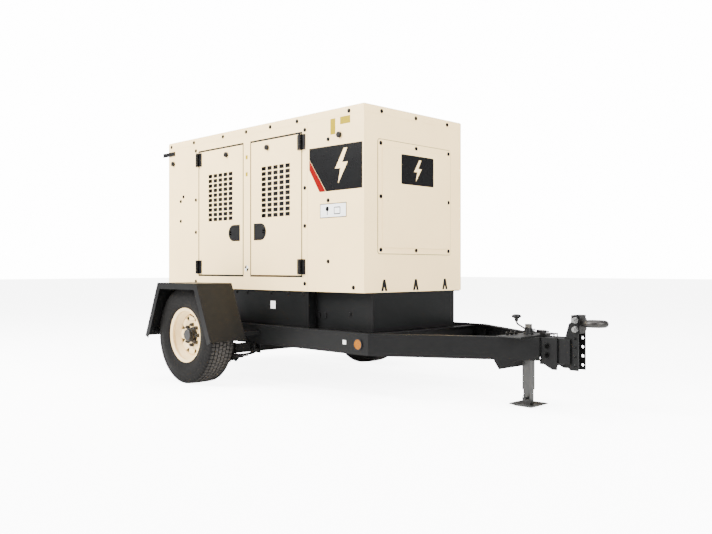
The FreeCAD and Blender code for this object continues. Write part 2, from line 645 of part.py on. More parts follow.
def fenders():
    """Bent skin, outer lip and two carrying arms over each wheel."""
    half = [(FENDER_TOP_HALF, FENDER_TOP), (FENDER_KNEE_HALF, FENDER_KNEE_Z),
            (FENDER_FOOT_HALF, FENDER_FOOT_Z)]
    line = [(-x, z) for x, z in reversed(half)] + half
    skin = plate_xz(line + list(reversed(offset_line(line, SHEET))), FENDER_INNER, FENDER_OUTER - SHEET)
    lip = plate_xz(line + list(reversed(offset_line(line, FENDER_LIP))), FENDER_OUTER - SHEET, FENDER_OUTER)
    pieces = [skin, lip]
    arm_z = FENDER_FOOT_Z + 30
    arm_x = TYRE_R + 22
    inside = offset_line(line, SHEET)
    for s in (-1, 1):
        x = sorted((s * arm_x, s * (arm_x + 30)))
        arm = block(x, (RAIL_OUTER, FENDER_OUTER - 60), (arm_z, arm_z + 30))
        tab_x = sorted((s * (arm_x + 4), s * (FENDER_FOOT_HALF + 6)))
        tab = block(tab_x, (FENDER_INNER + 20, FENDER_INNER + 26), (arm_z, arm_z + 30))
        pieces.append(join([arm, tab.common(plate_xz(inside, FENDER_INNER, FENDER_OUTER))]))
    return group(both_sides(pieces))


# ---------------------------------------------------------------- hitch
def hitch_hole_z(index):
    """Height of a hole of the hitch channel, counted from the top."""
    return CHANNEL_TOP - 32 - index * CHANNEL_PITCH


HITCH_BOLTS_XZ = ((HITCH_REAR + 50, 364.0), (HITCH_REAR + 50, 424.0))
HITCH_BOLT_R = 10.0
HITCH_PLAY = 0.5


def hitch_box():
    """Welded shoe at the tongue's end: two cheeks with a chin, a floor and a back plate."""
    inner = DRAWBAR_WIDTH / 2 + HITCH_PLAY
    sole = DRAWBAR_BASE - 14
    chin = DRAWBAR_BASE - 44
    outline = [(HITCH_REAR, sole), (HITCH_REAR + 30, sole), (HITCH_REAR + 91, chin), (HITCH_FRONT - 6, chin),
               (HITCH_FRONT, sole), (HITCH_FRONT, DRAWBAR_TOP + 3), (HITCH_REAR, DRAWBAR_TOP + 3)]
    cheek = plate_xz(outline, inner, inner + HITCH_PLATE)
    floor = block((HITCH_REAR, HITCH_FRONT), (-inner, inner), (DRAWBAR_BASE - 14, DRAWBAR_BASE - HITCH_PLAY))
    back = block((HITCH_REAR, HITCH_REAR + 6), (-inner, inner), (DRAWBAR_BASE - 14, DRAWBAR_TOP + 3))
    holes = [rod((x, -150, z), (0, 1, 0), HITCH_BOLT_R + 0.5, 300) for x, z in HITCH_BOLTS_XZ]
    solid = join([cheek, mirrored(cheek), floor, back]).cut(group(holes))
    return solid.cut(block((HITCH_REAR - 1, TONGUE_END), (-400, 400), (RAIL_BASE, RAIL_TOP)))


def drawbar():
    """Square-section bar in the shoe, flared cheeks and the drilled hitch channel."""
    half = DRAWBAR_WIDTH / 2
    x = (HITCH_REAR + 8, CHANNEL_X)
    bar = block(x, (-half, half), (DRAWBAR_BASE, DRAWBAR_TOP))
    bar = bar.cut(block((x[0] - 1, x[1]), (-half + DRAWBAR_WALL, half - DRAWBAR_WALL),
                        (DRAWBAR_BASE + DRAWBAR_WALL, DRAWBAR_TOP - DRAWBAR_WALL)))
    flare = [(CHANNEL_X - 46, DRAWBAR_BASE), (CHANNEL_X - 6, CHANNEL_BASE), (CHANNEL_X, CHANNEL_BASE),
             (CHANNEL_X, DRAWBAR_TOP + 110), (CHANNEL_X - 16, DRAWBAR_TOP + 100), (CHANNEL_X - 46,
                                                                                   DRAWBAR_TOP)]
    cheek = plate_xz(flare, CHANNEL_WIDTH / 2 - 10, CHANNEL_WIDTH / 2)
    z = (CHANNEL_BASE, CHANNEL_TOP)
    post = block((CHANNEL_X, CHANNEL_X + CHANNEL_DEPTH), (-CHANNEL_WIDTH / 2, CHANNEL_WIDTH / 2), z)
    post = post.cut(block((CHANNEL_X + CHANNEL_T, CHANNEL_X + CHANNEL_DEPTH + 1),
                          (-CHANNEL_WIDTH / 2 + CHANNEL_T, CHANNEL_WIDTH / 2 - CHANNEL_T), (z[0] - 1,
                                                                                            z[1] + 1)))
    holes = [rod((x_, -150, z_), (0, 1, 0), HITCH_BOLT_R + 0.5, 300) for x_, z_ in HITCH_BOLTS_XZ]
    for index in range(CHANNEL_HOLES):
        holes.append(rod((CHANNEL_HOLE_X, -100, hitch_hole_z(index)), (0, 1, 0), CHANNEL_HOLE_R, 200))
    return join([bar, cheek, mirrored(cheek), post]).cut(group(holes))


CHANNEL_HOLE_X = CHANNEL_X + 31.0


def lunette_ring():
    """Forged tow eye with its shank and the block that bolts into the channel."""
    eye = Part.makeTorus(RING_EYE_R + RING_BAR_R - EYE_LAND, RING_BAR_R, V(RING_X, 0, RING_Z))
    shank_x = RING_X - RING_EYE_R - 2 * RING_BAR_R + 10
    shank = rod((CHANNEL_X + CHANNEL_DEPTH - 12, 0, RING_Z), (1, 0, 0), RING_BAR_R,
                shank_x - CHANNEL_X - CHANNEL_DEPTH + 24)
    half = CHANNEL_WIDTH / 2 - CHANNEL_T - 0.5
    mount = block((CHANNEL_X + CHANNEL_T + 0.5, CHANNEL_X + CHANNEL_DEPTH + 4), (-half, half),
                  (hitch_hole_z(1) - 27, hitch_hole_z(0) + 27))
    hole = rod((RING_X, 0, RING_Z - 60), (0, 0, 1), RING_EYE_R, 120)
    bolts = [rod((CHANNEL_HOLE_X, -100, hitch_hole_z(i)), (0, 1, 0), CHANNEL_HOLE_R, 200) for i in (0, 1)]
    return join([eye, shank, mount]).cut(group([hole] + bolts))


def bolt_across(x, z, half, radius, head):
    """Bolt along y with a head, a nut and two washers that grip from -half to half."""
    shank = rod((x, -half - 32, z), (0, 1, 0), radius, 2 * half + 42)
    cap = hexagon((x, half + 4, z), (0, 1, 0), head, 12)
    washers = [ring((x, y, z), (0, 1, 0), head * 0.62, radius, 4) for y in (-half - 4, half)]
    nut = hexagon((x, -half - 4, z), (0, -1, 0), head, 16)
    nut = nut.cut(rod((x, -half - 40, z), (0, 1, 0), radius, 60))
    return [join([shank, cap])] + washers + [nut]


def hitch_bolts():
    solids = []
    for index in (0, 1):
        solids += bolt_across(CHANNEL_HOLE_X, hitch_hole_z(index), CHANNEL_WIDTH / 2, CHANNEL_HOLE_R - 0.3,
                              32)
    for x, z in HITCH_BOLTS_XZ:
        solids += bolt_across(x, z, DRAWBAR_WIDTH / 2 + HITCH_PLAY + HITCH_PLATE, HITCH_BOLT_R, 30)
    return group(solids)


def tongue_fittings():
    """Breakaway switch on its bracket, a lever post, and a chain eye on the shoe."""
    deck = RAIL_TOP + 8
    x = JACK_X + JACK_OUTER / 2 + 30
    under = FITTING_Z - SWITCH_R
    bracket = join([block((x - 16, x + 40), (30, 50), (under - 5, under)),
                    block((x + 8, x + 14), (30, 50), (deck, under))])
    switch = rod((x - 20, 40, FITTING_Z), (1, 0, 0), SWITCH_R, 70)
    nozzle = rod((x + 50, 40, FITTING_Z), (1, 0, 0), 5, 22)
    post = rod((HITCH_REAR - 26, 8, deck), (0, 0, 1), 12, 22)
    lever = rod((HITCH_REAR - 16, 8, deck + 9), (1, 0, 0), 3.5, 48)
    eye = Part.makeTorus(13, 4, V(HITCH_FRONT - 12, -HITCH_EYE_Y, DRAWBAR_TOP + 3 + 17.5), V(0, 1, 0))
    return group([join([bracket, switch, nozzle]), join([post, lever]), eye])


HITCH_EYE_Y = DRAWBAR_WIDTH / 2 + HITCH_PLAY + HITCH_PLATE / 2
LINK_WIRE_R = 4.0
LINK_PITCH = 30.0
LINK_HALF_WIDTH = 8.6
LINK_COUNT = 5


def chain_link(centre, upright):
    """Stadium-shaped link that lies along y, flat or on edge."""
    straight = LINK_PITCH / 2 - LINK_HALF_WIDTH + 3.0
    pieces = []
    for s in (-1, 1):
        pieces.append(rod((s * LINK_HALF_WIDTH, -straight, 0), (0, 1, 0), LINK_WIRE_R, 2 * straight))
        bend = Part.makeTorus(LINK_HALF_WIDTH, LINK_WIRE_R, V(0, s * straight, 0))
        pieces.append(bend.common(block((-30, 30), sorted((s * straight, s * (straight + 30))), (-30, 30))))
    link = join(pieces)
    if upright:
        link.rotate(V(0, 0, 0), V(0, 1, 0), 90)
    link.translate(V(*centre))
    return link


def safety_chains():
    """Two short chains laid across the tongue plate."""
    links = []
    z = RAIL_TOP + 8 + LINK_HALF_WIDTH + LINK_WIRE_R + 0.3
    for k in range(LINK_COUNT):
        centre = (JACK_X - JACK_OUTER / 2 - 30, JACK_OUTER / 2 + 26 + k * (LINK_PITCH - 4), z)
        links.append(chain_link(centre, k % 2 == 0))
    return group(both_sides(links))


# ---------------------------------------------------------------- jack
def jack_tube():
    """Outer tube with its welded mounting plate and the gear head on top."""
    half = JACK_OUTER / 2
    tube = block((JACK_X - half, JACK_X + half), (-half, half), (JACK_TUBE_BASE, JACK_TUBE_TOP + 6))
    inner = half - JACK_WALL
    tube = tube.cut(block((JACK_X - inner, JACK_X + inner), (-inner, inner),
                          (JACK_TUBE_BASE - 1, JACK_TUBE_TOP + 2)))
    head = rod((JACK_X, 0, JACK_TUBE_TOP + 6), (0, 0, 1), 27, JACK_HEAD_H - 34)
    bore = rod((JACK_X, 0, CRANK_BASE - STUB_DEPTH), (0, 0, 1), STUB_R + PIN_PLAY, STUB_DEPTH + 5)
    collar = rod((JACK_X, 0, JACK_TUBE_TOP + 6), (0, 0, 1), 33, 12)
    return join([tube, jack_mount().cut(block((JACK_X - inner, JACK_X + inner), (-inner, inner),
                                              (400, 600))), head, collar]).cut(bore)


def jack_leg():
    half = JACK_LEG / 2
    leg = block((JACK_X - half, JACK_X + half), (-half, half), (FOOT_T + 2, JACK_LEG_TOP))
    inner = half - JACK_WALL
    leg = leg.cut(block((JACK_X - inner, JACK_X + inner), (-inner, inner), (0, JACK_LEG_TOP - 8)))
    return leg.cut(rod((JACK_X, -100, FOOT_PIN_Z), (0, 1, 0), FOOT_PIN_R + 0.3, 200))


def jack_foot():
    """Pressed pan with turned-up corners and a socket around the leg."""
    flat, top = FOOT_FLAT_HALF, FOOT_HALF
    pan = block((-flat, flat), (-flat, flat), (0, FOOT_T))
    for k in range(4):
        corners = [(flat, -flat, 0), (flat, flat, 0), (top, top, FOOT_RISE - FOOT_T),
                   (top, -top, FOOT_RISE - FOOT_T)]
        lower = [V(*c) for c in corners]
        faces = []
        upper = [p + V(0, 0, FOOT_T) for p in lower]
        for loop in (lower, upper):
            faces.append(Part.Face(Part.makePolygon(loop + loop[:1])))
        for i in range(4):
            j = (i + 1) % 4
            faces.append(Part.Face(Part.makePolygon([lower[i], lower[j], upper[j], upper[i], lower[i]])))
        flap = Part.makeSolid(Part.makeShell(faces))
        flap.rotate(V(0, 0, 0), V(0, 0, 1), 90 * k)
        pan = pan.fuse(flap)
    inner = JACK_LEG / 2 - JACK_WALL - 0.5
    stub = block((-inner, inner), (-inner, inner), (FOOT_T, FOOT_PIN_Z + 22))
    stub = stub.cut(block((-inner + 5, inner - 5), (-inner + 5, inner - 5), (FOOT_T, FOOT_PIN_Z + 30)))
    pan = pan.fuse(stub).removeSplitter()
    pan.translate(V(JACK_X, 0, 0))
    return pan.cut(rod((JACK_X, -100, FOOT_PIN_Z), (0, 1, 0), FOOT_PIN_R + 0.3, 200))


def foot_pin():
    """Cross pin with a head and a pull loop on the side it is pulled to."""
    reach = JACK_LEG / 2
    head_y = -reach - 34
    shank = rod((JACK_X, head_y, FOOT_PIN_Z), (0, 1, 0), FOOT_PIN_R, 2 * reach + 52)
    head = rod((JACK_X, head_y, FOOT_PIN_Z), (0, 1, 0), 12, 10)
    loop = Part.makeTorus(13, 2.0, V(JACK_X, head_y - 2, FOOT_PIN_Z + 13), V(1, 0, 0))
    return join([shank, head, loop])


def crank_handle():
    """Bent rod that turns the jack's screw, on a socket over the gear head."""
    z = CRANK_BASE
    socket = rod((JACK_X, 0, z + 0.5), (0, 0, 1), 24, 26)
    path = [(0, z + 16), (-50, z + 0), (-CRANK_REACH + 12, z + 34), (-CRANK_REACH, z + 50),
            (-CRANK_REACH, z + 92)]
    stub = rod((JACK_X, 0, z - STUB_DEPTH + 1), (0, 0, 1), STUB_R, STUB_DEPTH + 2)
    pieces = [socket, stub]
    for (y0, z0), (y1, z1) in zip(path[:-1], path[1:]):
        pieces.append(along((JACK_X, y0, z0), (JACK_X, y1, z1), CRANK_ROD_R))
        if (y0, z0) != path[0]:
            pieces.append(ball((JACK_X, y0, z0), CRANK_ROD_R))
    return join(pieces)


def crank_knob():
    """Mushroom grip that spins on the crank's upright end."""
    z = CRANK_BASE + 52
    y = -CRANK_REACH
    profile = [(CRANK_ROD_R + PIN_PLAY, z), (11, z), (13, z + 18), (KNOB_R - 3, z + 27), (KNOB_R, z + 34),
               (KNOB_R - 3, z + 41), (16, z + 47), (0, z + 48), (0, z + 42), (CRANK_ROD_R + PIN_PLAY, z + 42)]
    wire = Part.makePolygon([V(r, 0, h) for r, h in profile + profile[:1]])
    solid = Part.Face(wire).revolve(V(0, 0, 0), V(0, 0, 1), 360)
    solid.translate(V(JACK_X, y, 0))
    return solid


# ---------------------------------------------------------------- lamps
def marker_lamps():
    """Round amber side reflectors, small square markers and the tail lamps."""
    z = (RAIL_BASE + RAIL_TOP) / 2 + 1
    side_parts = []
    side_parts.append(ring((RAIL_BEND - 94, RAIL_OUTER, z - 4), (0, 1, 0), 42, 35, 8))
    side_parts.append(rod((RAIL_BEND - 94, RAIL_OUTER, z - 4), (0, 1, 0), 34.7, 6))
    side_parts.append(block((RAIL_BEND - 245, RAIL_BEND - 215), (RAIL_OUTER, RAIL_OUTER + 5),
                            (z - 12, z + 18)))
    lamp_x = -RAIL_REAR - SEAT_GAP
    lamp = rod((lamp_x - 5, RAIL_OUTER - 80, z), (-1, 0, 0), 55, 18)
    plate = block((lamp_x - 5, lamp_x), (RAIL_OUTER - 150, RAIL_OUTER), (RAIL_BASE, SKID_BASE - 1))
    side_parts.append(join([lamp, plate]))
    return group(both_sides(side_parts))


# ---------------------------------------------------------------- skid and tank
def skid_base():
    """Base frame that carries the power unit, with lifting holes and a top flange for the housing."""
    z = (SKID_BASE, HOUSE_BASE)
    x = (REAR_X + 8, SEAM_X)
    pieces = []
    for side in (-1, 1):
        pieces.append(channel(x, SKID_HALF, side, z, 60, SKID_PLATE, SKID_PLATE))
        y = sorted((side * SKID_HALF, side * (TANK_HALF + 1)))
        pieces.append(block((SEAM_X, FRONT_X - 4), y, (HOUSE_BASE - SKID_PLATE, HOUSE_BASE)))
        pieces.append(block((SEAM_X - SKID_PLATE, SEAM_X), y, z))
    pieces.append(block((x[0], x[0] + SKID_PLATE), (-SKID_HALF, SKID_HALF), z))
    for bearer in (ALTERNATOR_X[0] + 120, TANK_REAR_X - 60):
        pieces.append(block((bearer - 40, bearer + 40), (-SKID_HALF, SKID_HALF),
                            (HOUSE_BASE - 60, HOUSE_BASE)))
    solid = join(pieces)
    holes = []
    for bearer in (ALTERNATOR_X[0] + 120, TANK_REAR_X - 60):
        holes.append(block((bearer - 34, bearer + 34), (-SKID_HALF + 8, SKID_HALF - 8),
                           (HOUSE_BASE - 61, HOUSE_BASE - 8)))
    return solid.cut(group(holes))


def fuel_tank():
    """Welded tank that fills the base under the engine, with sight plugs and a filler neck."""
    half = TANK_HALF
    x = (TANK_REAR_X, FRONT_X)
    z = (SKID_BASE + 0.5, HOUSE_BASE - 0.5)
    t = TANK_PLATE
    shell = block(x, (-half, half), z)
    mid = (x[0] + x[1]) / 2
    bays = [(x[0] + t, mid - t / 2), (mid + t / 2, x[1] - t)]
    shell = shell.cut(group([block(bay, (-half + t, half - t), (z[0] + t, z[1] - t)) for bay in bays]))
    trims = []
    for plug_x in (SEAM_X + 30, SEAM_X + 102):
        trims.append(rod((plug_x, -half, z[0] + 104), (0, -1, 0), 24, 6))
    trims.append(rod((FRONT_X - 240, -half, z[0] + 122), (0, -1, 0), 15, 8))
    return join([shell] + trims)


# ---------------------------------------------------------------- housing
def opening_frame(opening, y_outer):
    """Jamb and stop lip around one door opening of the +y wall."""
    x0, x1 = opening
    z0, z1 = OPEN_Z
    depth = (y_outer - JAMB_DEPTH, y_outer - SHEET / 2)
    outer = block((x0 - SHEET, x1 + SHEET), depth, (z0 - SHEET, z1 + SHEET))
    jamb = outer.cut(block((x0, x1), (depth[0] - 1, depth[1] + 1), (z0, z1)))
    stop = y_outer - DOOR_DEPTH - SEAL_GAP
    lip = block((x0 - SHEET, x1 + SHEET), (stop - SHEET, stop), (z0 - SHEET, z1 + SHEET))
    lip = lip.cut(block((x0 + STOP_LIP, x1 - STOP_LIP), (stop - SHEET - 1, stop + 1),
                        (z0 + STOP_LIP, z1 - STOP_LIP)))
    return [jamb, lip]


def side_walls():
    y = (HOUSE_HALF - SHEET, HOUSE_HALF)
    wall = block((REAR_X, SEAM_X - 1), y, (HOUSE_BASE, SEAM_Z))
    cuts = [block(opening, (y[0] - 1, y[1] + 1), OPEN_Z) for opening, _ in DOORS.values()]
    pieces = [wall.cut(group(cuts))]
    for opening, _ in DOORS.values():
        pieces += opening_frame(opening, HOUSE_HALF)
    flange_y = (HOUSE_HALF - 40, HOUSE_HALF - SHEET)
    pieces.append(block((REAR_X + SHEET, SEAM_X - 1), flange_y, (HOUSE_BASE, HOUSE_BASE + SHEET)))
    pieces.append(block((REAR_X + SHEET, SEAM_X - 1), flange_y, (SEAM_Z - SHEET, SEAM_Z)))
    pieces.append(block((SEAM_X - 1 - SHEET, SEAM_X - 1), flange_y, (HOUSE_BASE, SEAM_Z)))
    return group(both_sides([join(pieces)]))


def drain_notch(y):
    """Upside-down V slot pressed through the front wall's foot."""
    top, foot, half, leg = HOUSE_BASE + 92, HOUSE_BASE + 13, 28, 15
    points = [(y - half, foot), (y - 7, top), (y + 7, top), (y + half, foot), (y + half - leg, foot),
              (y, top - 34), (y - half + leg, foot)]
    return plate_yz(points, FRONT_X - SHEET - 1, FRONT_X + 1)


def front_housing():
    """One folded shell: two side panels and the front wall with the radiator opening."""
    outer = block((SEAM_X + 1, FRONT_X), (-HOUSE_HALF, HOUSE_HALF), (HOUSE_BASE, SEAM_Z))
    inner = block((SEAM_X, FRONT_X - SHEET), (-HOUSE_HALF + SHEET, HOUSE_HALF - SHEET),
                  (HOUSE_BASE - 1, SEAM_Z + 1))
    shell = outer.cut(inner)
    flanges = []
    for z in ((HOUSE_BASE, HOUSE_BASE + SHEET), (SEAM_Z - SHEET, SEAM_Z)):
        plate = block((SEAM_X + 1, FRONT_X - SHEET), (-HOUSE_HALF + SHEET, HOUSE_HALF - SHEET), z)
        flanges.append(plate.cut(block((SEAM_X, FRONT_X - 50), (-HOUSE_HALF + 50, HOUSE_HALF - 50),
                                       (z[0] - 1, z[1] + 1))))
    window = block((FRONT_X - SHEET - 1, FRONT_X + 1), (-COVER_HALF + 60, COVER_HALF - 60),
                   (COVER_Z[0] + 60, COVER_Z[1] - 60))
    notches = [drain_notch(y) for y in (-356.0, 0.0, 356.0)]
    return join([shell] + flanges).cut(group([window] + notches))


def front_cover():
    """Bolted service cover with a raised middle."""
    y = (-COVER_HALF, COVER_HALF)
    plate = rounded_block((FRONT_X + 0.2, FRONT_X + 3.2), y, COVER_Z, 18, V(1, 0, 0))
    raised = rounded_block((FRONT_X + 3.2, FRONT_X + 12), (y[0] + 40, y[1] - 40),
                           (COVER_Z[0] + 40, COVER_Z[1] - 40), 24, V(1, 0, 0))
    edges = [e for e in raised.Edges if abs(e.CenterOfMass.x - FRONT_X - 12) < 0.1]
    raised = raised.makeChamfer(7, edges)
    hollow = block((FRONT_X, FRONT_X + 8), (y[0] + 56, y[1] - 56), (COVER_Z[0] + 56, COVER_Z[1] - 56))
    return join([plate, raised]).cut(hollow)


def rear_wall():
    half = HOUSE_HALF - SHEET - 0.3
    wall = block((REAR_X, REAR_X + SHEET), (-half, half), (HOUSE_BASE, SEAM_Z - SHEET - 0.3))
    margin = REAR_OPENING_MARGIN
    window = block((REAR_X - 1, REAR_X + SHEET + 1), (-PANEL_HALF - margin, PANEL_HALF + margin),
                   (PANEL_Z[0] - margin, PANEL_Z[1] + margin))
    rim_out = block((REAR_X, REAR_X + 25), (-PANEL_HALF - margin - SHEET, PANEL_HALF + margin + SHEET),
                    (PANEL_Z[0] - margin - SHEET, PANEL_Z[1] + margin + SHEET))
    hole = block((REAR_X - 1, REAR_X + 26), (-PANEL_HALF - margin, PANEL_HALF + margin),
                 (PANEL_Z[0] - margin, PANEL_Z[1] + margin))
    return join([wall.cut(window), rim_out.cut(hole)])


ARM_Y = (REAR_DOOR_HALF - 30, REAR_DOOR_HALF - 20)


def rear_door():
    """Lift-up cover over the control panel, hung on two pivot arms."""
    x = (REAR_X - 2 - REAR_DOOR_T, REAR_X - 2)
    pan = rounded_block(x, (-REAR_DOOR_HALF, REAR_DOOR_HALF), REAR_DOOR_Z, 14, V(1, 0, 0))
    hollow = block((x[0] + SHEET, x[1] + 1), (-REAR_DOOR_HALF + SHEET, REAR_DOOR_HALF - SHEET),
                   (REAR_DOOR_Z[0] + SHEET, REAR_DOOR_Z[1] - SHEET))
    pieces = [pan.cut(hollow)]
    arm = [(x[0], REAR_DOOR_Z[1] - 45), (x[0] + 4, REAR_DOOR_Z[1] + 6), (PIVOT_X + 12, PIVOT_Z + 14),
           (PIVOT_X - 14, PIVOT_Z + 8), (PIVOT_X - 12, PIVOT_Z - 14), (x[0] - 16, REAR_DOOR_Z[1] - 45)]
    bore = rod((PIVOT_X, -600, PIVOT_Z), (0, 1, 0), REAR_PIVOT_R + PIN_PLAY, 1200)
    for y in (ARM_Y, (-ARM_Y[1], -ARM_Y[0])):
        pieces.append(plate_xz(arm, y[0], y[1]).cut(bore))
    handle = block((x[0] - 14, x[0]), (-60, 60), (REAR_DOOR_Z[0] + 60, REAR_DOOR_Z[0] + 84))
    handle = handle.cut(block((x[0] - 8, x[0] + 1), (-48, 48), (REAR_DOOR_Z[0] + 59, REAR_DOOR_Z[0] + 85)))
    return join(pieces + [handle])


def roof():
    """Shallow cap with a chamfered edge and the exhaust hole."""
    outer = block((REAR_X, FRONT_X), (-HOUSE_HALF, HOUSE_HALF), (SEAM_Z + 0.5, ROOF_Z))
    top = [e for e in outer.Edges if abs(e.CenterOfMass.z - ROOF_Z) < 0.1]
    outer = outer.makeChamfer(ROOF_CHAMFER, top)
    inner = block((REAR_X + SHEET, FRONT_X - SHEET), (-HOUSE_HALF + SHEET, HOUSE_HALF - SHEET),
                  (SEAM_Z, ROOF_Z - SHEET))
    top = [e for e in inner.Edges if abs(e.CenterOfMass.z - ROOF_Z + SHEET) < 0.1]
    shell = outer.cut(inner.makeChamfer(ROOF_CHAMFER, top))
    return shell.cut(rod((OUTLET_X, MUFFLER_Y, SEAM_Z), (0, 0, 1), OUTLET_R + 8, 2 * ROOF_DEPTH))


# ---------------------------------------------------------------- side doors (drawn on the +y side)
def door_span(kind):
    """Hinge edge, free edge and inward direction of a door along x."""
    opening, sense = DOORS[kind]
    return (opening[0], opening[1], 1) if sense > 0 else (opening[1], opening[0], -1)


def latch_outline(kind, grow, y0, y1):
    """D-shaped block, straight side at the door's free edge."""
    _, free, sense = door_span(kind)
    straight = free - sense * (LATCH_EDGE - grow)
    z = OPEN_Z[0] + LATCH_Z
    radius = LATCH_HEIGHT / 2 + grow
    centre = free - sense * (LATCH_EDGE + LATCH_LENGTH - LATCH_HEIGHT / 2)
    x = sorted((straight, centre))
    slab = block(x, (y0, y1), (z - radius, z + radius))
    return join([slab, rod((centre, y0, z), (0, 1, 0), radius, y1 - y0)])


def door(kind):
    hinge, free, sense = door_span(kind)
    x = sorted((hinge + sense * DOOR_SIDE_GAP, free - sense * DOOR_SIDE_GAP))
    z = (OPEN_Z[0] + DOOR_END_GAP, OPEN_Z[1] - DOOR_END_GAP)
    skin_y = (HOUSE_HALF - SHEET, HOUSE_HALF)
    pan = rounded_block(x, (HOUSE_HALF - DOOR_DEPTH, HOUSE_HALF), z, 5, V(0, 1, 0))
    hollow = block((x[0] + SHEET, x[1] - SHEET), (HOUSE_HALF - DOOR_DEPTH - 1, HOUSE_HALF - SHEET),
                   (z[0] + SHEET, z[1] - SHEET))
    pan = pan.cut(hollow)
    inset = REAR_VENT_INSET if kind == "rear" else FRONT_VENT_INSET
    cutters = [latch_outline(kind, -4.0, HOUSE_HALF - DOOR_DEPTH, HOUSE_HALF + 1)]
    for column in range(VENT_COLUMNS):
        start = hinge + sense * (inset + column * VENT_PITCH_X)
        vent_x = sorted((start, start + sense * VENT_WIDTH))
        for row in range(VENT_ROWS):
            top = OPEN_Z[1] - VENT_TOP_DROP - row * VENT_PITCH_Z
            cutters.append(rounded_block(vent_x, (skin_y[0] - 1, skin_y[1] + 1), (top - VENT_HEIGHT, top),
                                         VENT_RADIUS,
                                         V(0, 1, 0)))
    return pan.cut(group(cutters))


def hinge_centres():
    return (OPEN_Z[0] + HINGE_INSET, OPEN_Z[1] - HINGE_INSET)


def hinge_half(kind, z, moving):
    """One leaf with its knuckles; the moving leaf holds the middle knuckle, the fixed one the pin."""
    hinge, _, sense = door_span(kind)
    way = sense if moving else -sense
    x = sorted((hinge + way * 3, hinge + way * HINGE_LEAF))
    leaf_z = (z - HINGE_HEIGHT / 2, z + HINGE_HEIGHT / 2)
    plate = rounded_block(x, (HOUSE_HALF + 0.2, HOUSE_HALF + HINGE_LEAF_T), leaf_z, 6, V(0, 1, 0))
    third = HINGE_HEIGHT / 3
    spans = [(z - third / 2, z + third / 2)]
    if not moving:
        spans = [(leaf_z[0], leaf_z[0] + third - 0.5), (leaf_z[1] - third + 0.5, leaf_z[1])]
    pieces = [plate]
    for z0, z1 in spans:
        web_x = sorted((hinge, hinge + way * HINGE_KNUCKLE_R))
        pieces.append(rod((hinge, HINGE_Y, z0), (0, 0, 1), HINGE_KNUCKLE_R, z1 - z0))
        pieces.append(block(web_x, (HOUSE_HALF + 0.2, HINGE_Y), (z0, z1)))
    if moving:
        return join(pieces).cut(rod((hinge, HINGE_Y, z - 100), (0, 0, 1), HINGE_PIN_R + PIN_PLAY, 200))
    pieces.append(rod((hinge, HINGE_Y, leaf_z[0]), (0, 0, 1), HINGE_PIN_R, HINGE_HEIGHT))
    return join(pieces)


def holder_knob(x):
    z = OPEN_Z[1] - HOLDER_DROP
    knob = rod((x, HOUSE_HALF + 0.2, z), (0, 1, 0), HOLDER_R, HOLDER_H)
    return knob.makeFillet(4, [e for e in knob.Edges if abs(e.CenterOfMass.y - HOUSE_HALF - HOLDER_H) < 0.5])


def door_hardware(kind):
    """Moving hinge leaves, the latch cup and the holder knob of one door."""
    hinge, _, sense = door_span(kind)
    solids = [hinge_half(kind, z, True) for z in hinge_centres()]
    rim_piece = latch_outline(kind, 0.0, HOUSE_HALF + 0.2, HOUSE_HALF + LATCH_RIM)
    cup = latch_outline(kind, -4.5, HOUSE_HALF - LATCH_CUP_DEPTH, HOUSE_HALF + 0.2)
    cavity = latch_outline(kind, -10.0, HOUSE_HALF - LATCH_CUP_DEPTH + SHEET, HOUSE_HALF + LATCH_RIM + 1)
    solids.append(join([rim_piece, cup]).cut(cavity))
    solids.append(holder_knob(hinge + sense * HOLDER_REACH))
    return group(solids)


PADDLE_Y = (HOUSE_HALF - 5.0, HOUSE_HALF - 5.0 + PADDLE_T)
PADDLE_PIVOT = 18.0        # latch's flat side to the paddle's pivot


def latch_paddle(kind):
    """Pull paddle that pivots near the latch's flat side, with a pivot boss behind it."""
    _, free, sense = door_span(kind)
    pivot = free - sense * (LATCH_EDGE + PADDLE_PIVOT)
    z = OPEN_Z[0] + LATCH_Z
    plate = latch_outline(kind, -10.0 - PADDLE_GAP, PADDLE_Y[0], PADDLE_Y[1])
    end = free - sense * (LATCH_EDGE + LATCH_LENGTH - 26)
    scoop = rod((end, PADDLE_Y[0] - 1, z), (0, 1, 0), 19, PADDLE_T + 2)
    scoop = scoop.cut(block((end - 40, end + 40), (PADDLE_Y[0] - 2, PADDLE_Y[1] + 2), (z - 3, z + 3)))
    boss = rod((pivot, PADDLE_Y[0], z - 25), (0, 0, 1), 5, 50)
    trimmed = plate.cut(block(sorted((pivot + sense * 9, free)), (0, 1000), (z - 200, z + 200)))
    return join([trimmed, boss]).cut(scoop)


def hinge_brackets():
    """Fixed hinge leaves with pins, the body's holder knobs, and the rear door's straps and pivot pins."""
    solids = []
    for kind in DOORS:
        hinge, _, sense = door_span(kind)
        solids += [hinge_half(kind, z, False) for z in hinge_centres()]
        solids.append(holder_knob(hinge - sense * HOLDER_REACH))
    strap_z = (PIVOT_Z - STRAP_HEIGHT / 2, PIVOT_Z + STRAP_HEIGHT / 2)
    strap = block((REAR_X - STRAP_BACK, REAR_X + STRAP_FRONT), (HOUSE_HALF + 0.2, HOUSE_HALF + 9), strap_z)
    pin = rod((PIVOT_X, ARM_Y[0] - 6, PIVOT_Z), (0, 1, 0), REAR_PIVOT_R, HOUSE_HALF + 9 - ARM_Y[0] + 6)
    solids.append(join([strap, pin]))
    return group(both_sides(solids))


# ---------------------------------------------------------------- screws
def screw(point, direction):
    return rod(point, direction, SCREW_R, SCREW_H)


